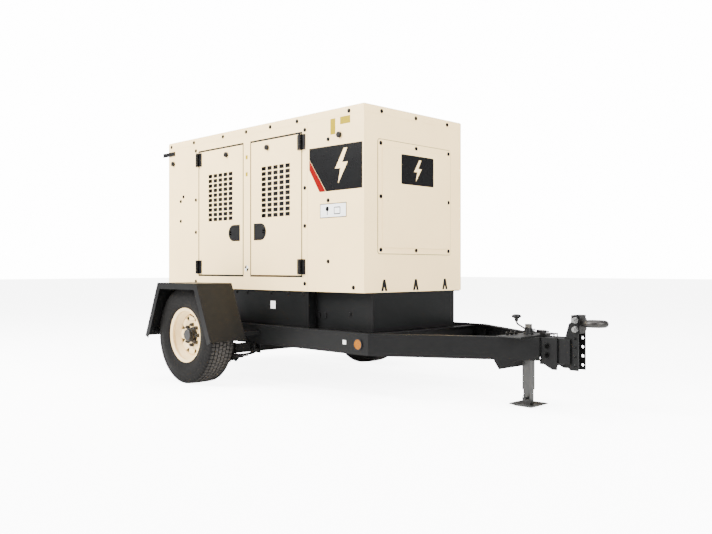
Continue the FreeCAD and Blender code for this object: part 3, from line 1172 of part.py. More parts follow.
def panel_screws():
    """Cap screws of the housing sides, roof edge, front cover and skid."""
    solids = []
    y = HOUSE_HALF
    side_points = []
    for z in (OPEN_Z[1] + 16, SEAM_Z - 506, SEAM_Z - 802, OPEN_Z[0] - 56):
        side_points += [(REAR_OPEN[0] - 49, z), (FRONT_OPEN[1] + 39, z)]
    span = FRONT_X - REAR_X
    for share in (0.019, 0.165, 0.339, 0.467, 0.591, 0.719, 0.941):
        side_points.append((REAR_X + span * share, SEAM_Z + 24))
    side_points += [(FRONT_X - 379, SEAM_Z - 159), (FRONT_X - 379, SEAM_Z - 619),
                    (FRONT_X - 379, HOUSE_BASE + 230),
                    (FRONT_X - 108, HOUSE_BASE + 38)]
    side_points += [(REAR_X + 258, SEAM_Z - 463), (REAR_X + 212, SEAM_Z - 504), (REAR_X + 212, SEAM_Z - 690)]
    for x, z in side_points:
        solids += both_sides([screw((x, y, z), (0, 1, 0))])
    inset = 28.0
    for cover_y in (-COVER_HALF + inset, 0.0, COVER_HALF - inset):
        for z in (COVER_Z[0] + inset, (COVER_Z[0] + COVER_Z[1]) / 2, COVER_Z[1] - inset):
            if cover_y or z != (COVER_Z[0] + COVER_Z[1]) / 2:
                solids.append(screw((FRONT_X + 3.2, cover_y, z), (1, 0, 0)))
    for roof_y in (-385.0, 0.0, 385.0):
        solids.append(screw((FRONT_X, roof_y, SEAM_Z + 24), (1, 0, 0)))
        solids.append(screw((REAR_X, roof_y, SEAM_Z + 24), (-1, 0, 0)))
    for x in (-50, 100, 420, 640, SEAM_X - 60):
        solids += both_sides([screw((x, SKID_HALF, HOUSE_BASE - 22), (0, 1, 0))])
    return group(solids)


# ---------------------------------------------------------------- power unit
def engine_block():
    """Block, head, cover, pan, manifold, starter and flywheel housing, each its own solid."""
    x0, x1 = ENGINE_X
    y = (-ENGINE_HALF, ENGINE_HALF)
    body = block((x0, x1), y, (ENGINE_BASE, ENGINE_DECK))
    cavity = [block((x0 + 16, x1 - 16), (y[0] + 16, y[1] - 16), (ENGINE_BASE - 1, CRANK_Z + 160))]
    pitch = (x1 - x0) / CYLINDERS
    for k in range(CYLINDERS):
        cavity.append(rod((x0 + pitch * (k + 0.5), 0, CRANK_Z + 100), (0, 0, 1), BORE_R,
                          ENGINE_DECK - CRANK_Z))
    cavity.append(rod((x0 - 1, 0, CRANK_Z), (1, 0, 0), SHAFT_R + PIN_PLAY, x1 - x0 + 2))
    body = body.cut(group(cavity))
    ribs = [block((x0 + pitch * k - 8, x0 + pitch * k + 8), (-ENGINE_HALF - 12, ENGINE_HALF + 12),
                  (CRANK_Z + 40, ENGINE_DECK - 40)) for k in range(1, CYLINDERS)]
    ribs = [r.cut(block((x0, x1), (-ENGINE_HALF + 1, ENGINE_HALF - 1), (0, 3000))) for r in ribs]
    body = join([body] + ribs)
    head_y = (-ENGINE_HALF + 18, ENGINE_HALF - 18)
    head = block((x0 + 6, x1 - 6), head_y, (ENGINE_DECK + 1.5, ENGINE_DECK + HEAD_H))
    head = head.cut(block((x0 + 30, x1 - 30), (head_y[0] + 24, head_y[1] - 24),
                          (ENGINE_DECK + 40, ENGINE_DECK + HEAD_H + 1)))
    cover_z = (ENGINE_DECK + HEAD_H + 1.5, ENGINE_DECK + HEAD_H + COVER_H)
    cover = rounded_block((x0 + 20, x1 - 20), (-95, 95), cover_z, 20, V(1, 0, 0))
    cover = cover.cut(block((x0 + 26, x1 - 26), (-89, 89), (cover_z[0] - 1, cover_z[1] - 6)))
    pan = block((x0 + 10, x1 - 10), (-ENGINE_HALF + 15, ENGINE_HALF - 15),
                (ENGINE_BASE - PAN_H, ENGINE_BASE - 1.5))
    pan = pan.cut(block((x0 + 16, x1 - 16), (-ENGINE_HALF + 21, ENGINE_HALF - 21),
                        (ENGINE_BASE - PAN_H + 6, ENGINE_BASE)))
    housing = ring((FLYWHEEL_X[0] - 40, 0, CRANK_Z), (1, 0, 0), HOUSING_R, FLYWHEEL_R + 12,
                   x0 - FLYWHEEL_X[0] + 39)
    manifold = block((x0 + 60, x1 - 60), (-ENGINE_HALF - 62, -ENGINE_HALF + 16),
                     (ENGINE_DECK + 30, ENGINE_DECK + 90))
    starter = rod((x0 + 10, ENGINE_HALF + 48, CRANK_Z + 60), (1, 0, 0), 44, pitch - 24)
    flange = block((x0 + 10, x0 + 22), (ENGINE_HALF + 1, ENGINE_HALF + 60), (CRANK_Z + 10, CRANK_Z + 110))
    feet = []
    for x in (x0 + 60, x1 - 110):
        foot = block((x, x + 80), (ENGINE_HALF + 1, ENGINE_HALF + 110), (ENGINE_BASE + 40, ENGINE_BASE + 56))
        leg = block((x, x + 80), (ENGINE_HALF + 90, ENGINE_HALF + 110), (HOUSE_BASE + 0.5, ENGINE_BASE + 40))
        feet += both_sides([join([foot, leg])])
    filter_can = rod((x0 + 340, ENGINE_HALF + 60, CRANK_Z - 40), (0, 0, 1), 48, 190)
    bracket = block((x0 + 320, x0 + 360), (ENGINE_HALF + 13, ENGINE_HALF + 60),
                    (CRANK_Z + 150, CRANK_Z + 180))
    return group([body, head, cover, pan, housing, manifold, join([starter, flange]),
                  join([filter_can, bracket])] + feet)


def crank_train():
    """Everything that turns on the main shaft: pulley, shaft, flywheel and the alternator's rotor."""
    shaft = rod((ALTERNATOR_X[0] + 12, 0, CRANK_Z), (1, 0, 0), SHAFT_R,
                ENGINE_X[1] + 60 - ALTERNATOR_X[0] - 12)
    flywheel = rod((FLYWHEEL_X[0], 0, CRANK_Z), (1, 0, 0), FLYWHEEL_R, FLYWHEEL_X[1] - FLYWHEEL_X[0])
    rotor = rod((STATOR_X[0] + 5, 0, CRANK_Z), (1, 0, 0), ROTOR_R, STATOR_X[1] - STATOR_X[0] - 10)
    slots = [rod((STATOR_X[0] - 5, (ROTOR_R + 2) * math.cos(a), CRANK_Z + (ROTOR_R + 2) * math.sin(a)),
                 (1, 0, 0), 14, 400)
             for a in [math.pi / 4 + k * math.pi / 2 for k in range(4)]]
    pulley = rod((ENGINE_X[1] + 22, 0, CRANK_Z), (1, 0, 0), 80, 30)
    groove = ring((ENGINE_X[1] + 30, 0, CRANK_Z), (1, 0, 0), 90, 68, 14)
    return join([shaft, flywheel, rotor.cut(group(slots)), pulley.cut(groove)])


def alternator():
    """Ribbed frame, wound stator and end bracket."""
    x0, x1 = ALTERNATOR_X
    frame = ring((x0, 0, CRANK_Z), (1, 0, 0), ALTERNATOR_R, ALTERNATOR_R - 12, x1 - x0)
    ribs = [ring((x0 + 60 + 140 * k, 0, CRANK_Z), (1, 0, 0), ALTERNATOR_R + 10, ALTERNATOR_R - 1, 10)
            for k in range(4)]
    end = ring((x0, 0, CRANK_Z), (1, 0, 0), ALTERNATOR_R - 11, SHAFT_R + PIN_PLAY, 16)
    stator = ring((STATOR_X[0], 0, CRANK_Z), (1, 0, 0), ALTERNATOR_R - 13, ROTOR_R + AIR_GAP,
                  STATOR_X[1] - STATOR_X[0])
    feet = []
    for x in (x0 + 80, x0 + 430):
        feet += both_sides([block((x, x + 90), (120, 200), (HOUSE_BASE + 0.5, CRANK_Z - 150))])
    frame = join([frame] + ribs + [end] + feet)
    frame = frame.cut(rod((x0 + 16, 0, CRANK_Z), (1, 0, 0), ALTERNATOR_R - 12, x1 - x0))
    box_z = CRANK_Z + ALTERNATOR_R + 12
    terminal = block((x0 + 60, x0 + 330), (-130, 130), (box_z, box_z + 130))
    box_hollow = block((x0 + 64, x0 + 326), (-126, 126), (box_z + 4, box_z + 126))
    saddle = block((x0 + 100, x0 + 290), (-60, 60), (box_z - 30, box_z))
    saddle = saddle.cut(rod((x0, 0, CRANK_Z), (1, 0, 0), ALTERNATOR_R + 10.3, x1 - x0))
    return group([frame, stator, join([terminal.cut(box_hollow), saddle])])


def cooling_fan():
    """Pusher fan with its hub and pulley on a stub shaft."""
    hub_piece = rod((FAN_X - 30, 0, FAN_Z), (1, 0, 0), 70, 60)
    pulley = rod((ENGINE_X[1] + 22, 0, FAN_Z), (1, 0, 0), 66, 30)
    groove = ring((ENGINE_X[1] + 30, 0, FAN_Z), (1, 0, 0), 80, 56, 14)
    shaft = rod((ENGINE_X[1] + 22, 0, FAN_Z), (1, 0, 0), 18, FAN_X - ENGINE_X[1] - 22)
    pieces = [hub_piece, pulley.cut(groove), shaft]
    for k in range(FAN_BLADES):
        blade = block((-3, 3), (-52, 52), (60, FAN_R - 6))
        blade.rotate(V(0, 0, 0), V(0, 0, 1), 32)
        blade.rotate(V(0, 0, 0), V(1, 0, 0), 360.0 * k / FAN_BLADES)
        blade.translate(V(FAN_X, 0, FAN_Z))
        pieces.append(blade)
    bore = rod((ENGINE_X[1] + 21, 0, FAN_Z), (1, 0, 0), 10 + PIN_PLAY, 80)
    return join(pieces).cut(bore)


def radiator():
    """Core between two tanks, side channels, feet and the fan shroud."""
    x0, x1 = RADIATOR_X
    z0 = HOUSE_BASE + 40
    z1 = z0 + RADIATOR_H
    core = block((x0 + 24, x1 - 24), (-RADIATOR_HALF + 20, RADIATOR_HALF - 20), (z0 + 82, z1 - 82))
    tanks = [rounded_block((x0, x1), (-RADIATOR_HALF, RADIATOR_HALF), z, 12, V(0, 1, 0))
             for z in ((z0, z0 + 80), (z1 - 80, z1))]
    frames = both_sides([block((x0, x1), (RADIATOR_HALF - 18, RADIATOR_HALF), (z0 + 81, z1 - 81))])
    foot_y = (RADIATOR_HALF - 90, RADIATOR_HALF - 20)
    feet = both_sides([block((x0 + 10, x1 - 10), foot_y, (HOUSE_BASE + 0.5, z0))])
    shroud = ring((x0 - 96, 0, FAN_Z), (1, 0, 0), FAN_R + 18, FAN_R + 12, 84)
    plate = block((x0 - 14, x0 - 10), (-RADIATOR_HALF, RADIATOR_HALF),
                  (FAN_Z - FAN_R - 60, FAN_Z + FAN_R + 60))
    plate = plate.cut(rod((x0 - 20, 0, FAN_Z), (1, 0, 0), FAN_R + 12, 20))
    brackets = both_sides([block((x0 - 10, x0), (RADIATOR_HALF - 18, RADIATOR_HALF),
                                 (FAN_Z - 200, FAN_Z + 200))])
    cap = rod(((x0 + x1) / 2, 150, z1), (0, 0, 1), 28, 22)
    return group([core] + [join(tanks + frames + feet + [cap]), join([shroud, plate] + brackets)])


def battery():
    x0, z0 = ALTERNATOR_X[0] - 330, HOUSE_BASE + 12
    y0, y1 = BATTERY_Y
    case = rounded_block((x0, x0 + 270), (y0, y1), (z0, z0 + 200), 6, V(0, 0, 1))
    lid = rounded_block((x0 - 4, x0 + 274), (y0 - 4, y1 + 4), (z0 + 200, z0 + 216), 6, V(0, 0, 1))
    posts = [rod((x0 + s, y0 + 30, z0 + 216), (0, 0, 1), 9, 18) for s in (35, 235)]
    tray = block((x0 - 20, x0 + 290), (y0 - 14, y1 + 14), (HOUSE_BASE + 3.5, z0 - 0.5))
    return group([join([case, lid] + posts), tray])


# ---------------------------------------------------------------- exhaust
def muffler():
    """Manifold pipe, silencer drum, tail pipe and roof outlet."""
    x0, x1 = MUFFLER_X
    drum = rod((x0, MUFFLER_Y, MUFFLER_Z), (1, 0, 0), MUFFLER_R, x1 - x0)
    drum = drum.makeFillet(18, [e for e in drum.Edges if e.Curve.TypeId == "Part::GeomCircle"])
    drum = drum.cut(rod((x0 + 4, MUFFLER_Y, MUFFLER_Z), (1, 0, 0), MUFFLER_R - 20, x1 - x0 - 8))
    tail = along((x0, MUFFLER_Y, MUFFLER_Z), (OUTLET_X, MUFFLER_Y, MUFFLER_Z), 34)
    elbow = ball((OUTLET_X, MUFFLER_Y, MUFFLER_Z), 34)
    riser = along((OUTLET_X, MUFFLER_Y, MUFFLER_Z), (OUTLET_X, MUFFLER_Y, ROOF_Z - 80), 34)
    bell = rod((OUTLET_X, MUFFLER_Y, ROOF_Z - 90), (0, 0, 1), OUTLET_R, OUTLET_TOP - ROOF_Z + 90)
    bell_hollow = rod((OUTLET_X, MUFFLER_Y, ROOF_Z - 86), (0, 0, 1), OUTLET_R - 4, 200)
    manifold_y = -ENGINE_HALF - 35
    manifold_z = ENGINE_DECK + 92
    entry = along((x1, MUFFLER_Y, MUFFLER_Z), (ENGINE_X[0] + 120, MUFFLER_Y, MUFFLER_Z), 30)
    bend = ball((ENGINE_X[0] + 120, MUFFLER_Y, MUFFLER_Z), 30)
    drop = along((ENGINE_X[0] + 120, MUFFLER_Y, MUFFLER_Z), (ENGINE_X[0] + 120, manifold_y, manifold_z), 30)
    drop = drop.cut(block((0, 2000), (-1000, 0), (manifold_z - 200, ENGINE_DECK + 91)))
    hollow = rod((OUTLET_X, MUFFLER_Y, MUFFLER_Z), (0, 0, 1), 31, 400)
    outlet = join([riser, bell]).cut(bell_hollow).cut(hollow)
    return join([drum, tail, elbow, outlet, entry, bend, drop])


def rain_cap():
    """Weighted flap over the exhaust outlet, hinged at its rear edge."""
    flap = rod((OUTLET_X, MUFFLER_Y, OUTLET_TOP + 0.6), (0, 0, 1), OUTLET_R + 5, 3)
    barrel = rod((OUTLET_X - OUTLET_R - 8, MUFFLER_Y - 22, OUTLET_TOP - 2.5), (0, 1, 0), 4, 44)
    tab = block((OUTLET_X - OUTLET_R - 8, OUTLET_X - OUTLET_R + 6), (MUFFLER_Y - 20, MUFFLER_Y + 20),
                (OUTLET_TOP + 0.6, OUTLET_TOP + 3.6))
    stem = block((OUTLET_X - OUTLET_R - 12, OUTLET_X - OUTLET_R - 4), (MUFFLER_Y - 20, MUFFLER_Y + 20),
                 (OUTLET_TOP - 2.5, OUTLET_TOP + 3.6))
    return join([flap, barrel, tab, stem])


# ---------------------------------------------------------------- controls
PANEL_FACE = REAR_X + 14.0
STOP_POINT = (PANEL_FACE, 60.0 - PANEL_HALF, PANEL_Z[1] - 120)
SWITCH_POINT = (PANEL_FACE, 130.0 - PANEL_HALF, PANEL_Z[1] - 120)
BREAKER_POINT = (PANEL_FACE, PANEL_HALF - 130.0, PANEL_Z[1] - 300)


def control_panel():
    """Switch box behind the rear door: face plate, bezels, breaker body and capped outlets."""
    z0, z1 = PANEL_Z
    box = block((PANEL_FACE, PANEL_FACE + PANEL_DEPTH), (-PANEL_HALF, PANEL_HALF), (z0, z1))
    box = box.cut(block((PANEL_FACE + 6, PANEL_FACE + PANEL_DEPTH - 4), (-PANEL_HALF + 4, PANEL_HALF - 4),
                        (z0 + 4, z1 - 4)))
    plugs = []
    screen = rounded_block((PANEL_FACE - 9, PANEL_FACE), (PANEL_HALF - 310, PANEL_HALF - 40),
                           (z1 - 210, z1 - 60), 8, V(1, 0, 0))
    plugs.append(screen)
    breaker = block((PANEL_FACE - 9, PANEL_FACE), (BREAKER_POINT[1] - 90, BREAKER_POINT[1] + 90),
                    (z1 - 380, z1 - 230))
    slot = block((PANEL_FACE - 10, PANEL_FACE + 1), (BREAKER_POINT[1] - 16, BREAKER_POINT[1] + 16),
                 (BREAKER_POINT[2] - 42, BREAKER_POINT[2] + 42))
    plugs.append(breaker.cut(slot))
    for k in range(OUTLETS):
        outlet = (PANEL_FACE, 100.0 - PANEL_HALF + k * OUTLET_PITCH, z0 + 120)
        plugs.append(rod(outlet, (-1, 0, 0), 40, 10))
    cuts = [rod((PANEL_FACE - 1, STOP_POINT[1], STOP_POINT[2]), (1, 0, 0), STOP_STEM_R + CONTROL_PLAY, 8),
            rod((PANEL_FACE - 1, SWITCH_POINT[1], SWITCH_POINT[2]), (1, 0, 0), SWITCH_STEM_R + CONTROL_PLAY,
                8),
            block((PANEL_FACE - 1, PANEL_FACE + 7), (BREAKER_POINT[1] - 16, BREAKER_POINT[1] + 16),
                  (BREAKER_POINT[2] - 42, BREAKER_POINT[2] + 42))]
    return join([box] + plugs).cut(group(cuts))


def emergency_stop():
    x, y, z = STOP_POINT
    stem = rod((x + 12, y, z), (-1, 0, 0), STOP_STEM_R, 30)
    head = rod((x - 12, y, z), (-1, 0, 0), 20, 14)
    return join([stem, head])


def start_switch():
    x, y, z = SWITCH_POINT
    stem = rod((x + 10, y, z), (-1, 0, 0), SWITCH_STEM_R, 20)
    knob = rod((x - 2, y, z), (-1, 0, 0), 17, 10)
    grip = block((x - 24, x - 8), (y - 4, y + 4), (z - 17, z + 17))
    return join([stem, knob, grip])


def breaker_handle():
    x, y, z = BREAKER_POINT
    pivot = rod((x + 18, y - 12, z), (0, 1, 0), 10, 24)
    lever = block((x - 30, x + 18), (y - 9, y + 9), (z - 7, z + 7))
    return join([pivot, lever])


# ---------------------------------------------------------------- all nodes
def build_nodes():
    makers = (side_rails, tongue_beams, cross_members, leaf_springs, axle_beam, u_bolts, fenders, hitch_box,
              drawbar, lunette_ring, hitch_bolts, tongue_fittings, safety_chains, marker_lamps, jack_tube,
              jack_leg, jack_foot, foot_pin, crank_handle, crank_knob, skid_base, fuel_tank, side_walls,
              front_housing, front_cover, rear_wall, rear_door, roof, hinge_brackets, panel_screws,
              engine_block, crank_train, cooling_fan, alternator, radiator, battery, muffler, rain_cap,
              control_panel, emergency_stop, start_switch, breaker_handle)
    nodes = {make.__name__: make() for make in makers}
    for side, sign in (("left", 1), ("right", -1)):
        nodes["tyre_" + side] = tyre(sign)
        nodes["rim_" + side] = rim(sign)
        nodes["hub_" + side] = hub(sign)
        for kind in DOORS:
            for name, make in (("door", door), ("hardware", door_hardware), ("paddle", latch_paddle)):
                shape = make(kind)
                nodes["%s_%s_%s" % (name, kind, side)] = shape if sign > 0 else mirrored(shape)
    return nodes


def save(nodes):
    os.makedirs("parts", exist_ok=True)
    for name, shape in nodes.items():
        shape.translate(V(-MID_X, 0, 0))
        shape.exportStep("parts/%s.step" % name)


NODES = build_nodes()
save(NODES)
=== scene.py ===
import json
import math
import bmesh
import bpy
from mathutils import Matrix, Vector

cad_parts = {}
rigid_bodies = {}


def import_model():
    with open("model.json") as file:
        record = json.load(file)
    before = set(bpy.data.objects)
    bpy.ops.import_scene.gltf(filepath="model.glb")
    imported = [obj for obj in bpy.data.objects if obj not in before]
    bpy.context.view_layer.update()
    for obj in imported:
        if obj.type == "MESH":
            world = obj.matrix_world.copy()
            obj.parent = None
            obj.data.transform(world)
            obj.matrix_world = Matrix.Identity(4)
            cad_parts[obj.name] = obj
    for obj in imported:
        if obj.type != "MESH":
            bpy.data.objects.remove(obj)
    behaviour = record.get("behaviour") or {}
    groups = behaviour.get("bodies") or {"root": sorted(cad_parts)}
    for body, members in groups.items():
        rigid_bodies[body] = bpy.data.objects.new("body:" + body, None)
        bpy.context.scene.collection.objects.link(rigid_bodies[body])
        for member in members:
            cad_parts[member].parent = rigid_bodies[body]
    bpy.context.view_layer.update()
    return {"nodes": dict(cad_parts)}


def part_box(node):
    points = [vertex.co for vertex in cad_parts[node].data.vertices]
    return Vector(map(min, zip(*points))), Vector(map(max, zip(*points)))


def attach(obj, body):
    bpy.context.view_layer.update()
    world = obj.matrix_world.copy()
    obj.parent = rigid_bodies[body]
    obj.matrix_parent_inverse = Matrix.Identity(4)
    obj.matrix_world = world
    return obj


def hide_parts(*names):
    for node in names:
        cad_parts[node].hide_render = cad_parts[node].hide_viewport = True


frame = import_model()

bl_info = {
    "name": "Towable generator looks",
    "version": (1, 0, 0),
    "blender": (4, 5, 0),
    "location": "View3D > Sidebar > Generator",
    "description": "Tyres, seals, linings, labels, finishes and a small studio for a towable generator",
    "category": "Object",
}

SIDES = {"left": 1, "right": -1}
DOORS = [(kind, side) for kind in ("rear", "front") for side in SIDES]
CLEAR = 0.0002          # air between an added piece and the sheet under it
DOOR_GAP_X = 0.004      # gap beside a door
DOOR_GAP_Z = 0.008      # gap above and below a door


# ---- settings
class PaintSettings(bpy.types.PropertyGroup):
    sand: bpy.props.FloatVectorProperty(
        name="Housing paint", description="Powder coat of the housing and wheels",
        subtype="COLOR", size=3, min=0, max=1, default=(0.97, 0.715, 0.355))
    black: bpy.props.FloatVectorProperty(
        name="Chassis paint", description="Powder coat of the trailer, skid and fenders",
        subtype="COLOR", size=3, min=0, max=1, default=(0.0042, 0.0043, 0.0044))
    edge_radius: bpy.props.FloatProperty(
        name="Edge radius", description="How round folded and cut edges look",
        unit="LENGTH", min=0, max=0.01, default=0.0022)
    wear: bpy.props.FloatProperty(
        name="Edge wear", description="Bare metal showing along edges",
        subtype="FACTOR", min=0, max=1, default=0.35)
    dirt: bpy.props.FloatProperty(
        name="Road dust", description="Dust on the lower parts",
        subtype="FACTOR", min=0, max=1, default=0.12)


class TyreSettings(bpy.types.PropertyGroup):
    blocks: bpy.props.IntProperty(
        name="Tread blocks", description="Tread blocks round each rib", min=24, max=120, default=72)
    depth: bpy.props.FloatProperty(
        name="Tread depth", description="Depth of the tread grooves",
        unit="LENGTH", min=0.002, max=0.02, default=0.0095)
    ribs: bpy.props.IntProperty(
        name="Ribs", description="Rows of blocks across the tread", min=3, max=7, default=6)


class TrimSettings(bpy.types.PropertyGroup):
    side_trim: bpy.props.FloatProperty(
        name="Side trim", description="Thickness of the door trim at the sides",
        unit="LENGTH", min=0.0005, max=0.003, default=0.0016)
    end_trim: bpy.props.FloatProperty(
        name="End trim", description="Thickness of the door trim above and below",
        unit="LENGTH", min=0.001, max=0.007, default=0.0052)
    foam_height: bpy.props.FloatProperty(
        name="Foam height", description="Thickness of the sound lining",
        unit="LENGTH", min=0.005, max=0.02, default=0.018)
    red: bpy.props.FloatVectorProperty(
        name="Label stripe", description="Colour of the stripe on the side label",
        subtype="COLOR", size=3, min=0, max=1, default=(0.16, 0.0, 0.0))
    yellow: bpy.props.FloatVectorProperty(
        name="Small labels", description="Colour of the small square labels",
        subtype="COLOR", size=3, min=0, max=1, default=(0.30, 0.215, 0.0))


class StudioSettings(bpy.types.PropertyGroup):
    lens: bpy.props.FloatProperty(
        name="Lens", description="Focal length on a 36 mm wide sensor", min=10, max=200, default=38.89)
    key: bpy.props.FloatProperty(
        name="Key light", description="Power of the large light", unit="POWER", min=0, max=9000, default=2600)
    sky: bpy.props.FloatProperty(
        name="Room light", description="How much light the white room gives", min=0, max=5, default=0.75)
    backdrop: bpy.props.FloatProperty(
        name="Backdrop", description="How white the room and floor look to the camera",
        min=0, max=30, default=15.0)


# ---- node building
def connect(tree, socket, value):
    """Links a socket to the one that feeds it, or sets its constant."""
    if isinstance(value, bpy.types.NodeSocket):
        tree.links.new(value, socket)
    else:
        socket.default_value = value


def add_node(tree, kind, inputs, **attrs):
    """Adds one node; inputs maps a socket to a value or to the socket that feeds it."""
    n = tree.nodes.new(kind)
    for key, value in attrs.items():
        setattr(n, key, value)
    for key, value in inputs.items():
        connect(tree, n.inputs[key], value)
    return n


def feed(node, **links):
    """Links named sockets of a shader or group output; an underscore stands for a space."""
    for key, value in links.items():
        node.id_data.links.new(value, node.inputs[key.replace("_", " ")])


def maths(tree, op, a, b, clamp=False):
    """One maths node."""
    return add_node(tree, "ShaderNodeMath", {0: a, 1: b}, operation=op, use_clamp=clamp).outputs[0]


def times(tree, a, b):
    """Product of two values."""
    return maths(tree, "MULTIPLY", a, b)


def scaled(tree, value, factor, base, clamp=False):
    """value * factor + base."""
    return maths(tree, "ADD", times(tree, value, factor), base, clamp)


def distance(tree, a, b):
    """Length of the two values as sides of a right angle."""
    return maths(tree, "SQRT", maths(tree, "ADD", times(tree, a, a), times(tree, b, b)), 0.0)


def blend(tree, mask, a, b):
    """Colour a where the mask is 0 and b where it is 1."""
    n = add_node(tree, "ShaderNodeMix", {}, data_type="RGBA")
    connect(tree, n.inputs[0], mask)
    for index, value in ((6, a), (7, b)):
        connect(tree, n.inputs[index], (*value, 1) if isinstance(value, tuple) else value)
    return n.outputs[2]


def ramp(tree, value, low, high):
    """Value mapped so that low gives 0 and high gives 1, clamped."""
    return add_node(tree, "ShaderNodeMapRange", {0: value, 1: low, 2: high}, clamp=True).outputs[0]


def object_point(tree):
    """Point in the piece's own axes, in metres."""
    return add_node(tree, "ShaderNodeTexCoord", {}).outputs["Object"]


def split(tree, vector):
    """The three parts of a vector."""
    return add_node(tree, "ShaderNodeSeparateXYZ", {0: vector}).outputs[:3]


def noise(tree, scale, detail=2.0, roughness=0.5, point=None):
    """Noise from 0 to 1."""
    return add_node(tree, "ShaderNodeTexNoise", {
        "Vector": point or object_point(tree), "Scale": scale, "Detail": detail, "Roughness": roughness}).outputs[0]


def cells(tree, scale, **attrs):
    """Sockets of a cell pattern."""
    return add_node(tree, "ShaderNodeTexVoronoi", {"Vector": object_point(tree), "Scale": scale}, **attrs).outputs


def crystals(tree, scale):
    """One even random value for each cell."""
    return add_node(tree, "ShaderNodeSeparateColor", {0: cells(tree, scale)["Color"]}).outputs[0]


def rounded(tree, radius):
    """Normal with its edges rounded off."""
    return add_node(tree, "ShaderNodeBevel", {"Radius": radius}, samples=4).outputs[0]


def bump(tree, height, strength, depth, **normal):
    """Normal bent by a height; depth is the height's full travel in metres."""
    return add_node(tree, "ShaderNodeBump",
                    {"Height": height, "Strength": strength, "Distance": depth, **normal}).outputs[0]


def effect(tree, name, **inputs):
    """Sockets of one of the shared node groups."""
    return add_node(tree, "ShaderNodeGroup", inputs, node_tree=bpy.data.node_groups[name]).outputs


def box_mask(tree, low, high):
    """Mask that is 1 between two corners."""
    return effect(tree, "box_mask", Low=low, High=high)["Mask"]


def dim(colour, factor):
    """Colour made darker."""
    return tuple(c * factor for c in colour)


def start_group(name, inputs, *outputs):
    """New shader node group. Inputs maps each name to its default, or to None for a vector."""
    tree = bpy.data.node_groups.new(name, "ShaderNodeTree")
    for label, default in inputs.items():
        kind = "NodeSocketVector" if default is None else "NodeSocketFloat"
        socket = tree.interface.new_socket(label, in_out="INPUT", socket_type=kind)
        if default is not None:
            socket.default_value = default
    for label in outputs:
        kind = "NodeSocketVector" if label == "Normal" else "NodeSocketFloat"
        tree.interface.new_socket(label, in_out="OUTPUT", socket_type=kind)
    return tree, tree.nodes.new("NodeGroupInput").outputs, tree.nodes.new("NodeGroupOutput")


def group_coat_texture():
    """Orange peel of a sprayed or powder coat, with a slow unevenness."""
    t, given, out = start_group("coat_texture", {"Scale": 260.0, "Strength": 0.1, "Radius": 0.002},
                                "Normal", "Mottle")
    peel = noise(t, given["Scale"])
    feed(out, Normal=bump(t, peel, given["Strength"], 0.0006, Normal=rounded(t, given["Radius"])),
         Mottle=noise(t, 3.0, 4.0, 0.6))


def group_edge_wear():
    """Mask that is 1 on broken patches along sharp edges."""
    t, given, out = start_group("edge_wear", {"Radius": 0.003, "Amount": 0.3}, "Mask")
    flat = add_node(t, "ShaderNodeNewGeometry", {}).outputs["True Normal"]
    facing = add_node(t, "ShaderNodeVectorMath", {0: rounded(t, given["Radius"]), 1: flat},
                      operation="DOT_PRODUCT").outputs["Value"]
    edge = ramp(t, maths(t, "SUBTRACT", 1.0, facing), 0.02, 0.16)
    floor = maths(t, "SUBTRACT", 0.78, times(t, given["Amount"], 0.4))
    chips = ramp(t, noise(t, 55.0, 6.0, 0.7), floor, 0.82)
    feed(out, Mask=times(t, edge, chips))


def group_road_dust():
    """Mask of dust: thicker low down, on upward faces and in slow patches."""
    t, given, out = start_group("road_dust", {"Amount": 0.3, "Top": 0.8}, "Mask")
    low = ramp(t, split(t, object_point(t))[2], given["Top"], 0.0)
    up = split(t, add_node(t, "ShaderNodeTexCoord", {}).outputs["Normal"])[2]
    settled = maths(t, "ADD", low, times(t, ramp(t, up, 0.3, 1.0), 0.5), clamp=True)
    cloud = ramp(t, noise(t, 14.0, 8.0, 0.65), 0.35, 0.75)
    feed(out, Mask=maths(t, "MULTIPLY", times(t, settled, cloud), given["Amount"], clamp=True))


def group_box_mask():
    """Mask that is 1 inside an axis-aligned box of the object."""
    t, given, out = start_group("box_mask", {"Low": None, "High": None}, "Mask")
    point = object_point(t)
    inside = None
    for pair in ((point, given["Low"]), (given["High"], point)):
        over = add_node(t, "ShaderNodeVectorMath", dict(enumerate(pair)), operation="SUBTRACT").outputs[0]
        for part in split(t, over):
            step = maths(t, "GREATER_THAN", part, 0.0)
            inside = step if inside is None else times(t, inside, step)
    feed(out, Mask=inside)


def group_cast_skin():
    """Rough skin of a casting or forging."""
    t, given, out = start_group("cast_skin", {"Scale": 90.0, "Strength": 0.4, "Radius": 0.002},
                                "Normal", "Height")
    pits = cells(t, given["Scale"], feature="SMOOTH_F1")["Distance"]
    height = maths(t, "ADD", times(t, pits, 0.5), noise(t, given["Scale"], 8.0, 0.7))
    feed(out, Normal=bump(t, height, given["Strength"], 0.0015, Normal=rounded(t, given["Radius"])),
         Height=height)


def new_material(name, **constants):
    """Material with one Principled shader; constants go straight on its sockets."""
    mat = bpy.data.materials.new(name)
    mat.use_nodes = True
    tree = mat.node_tree
    tree.nodes.clear()
    shader = tree.nodes.new("ShaderNodeBsdfPrincipled")
    out = tree.nodes.new("ShaderNodeOutputMaterial")
    tree.links.new(shader.outputs[0], out.inputs[0])
    for key, value in constants.items():
        shader.inputs[key.replace("_", " ")].default_value = value
    return mat, tree, shader


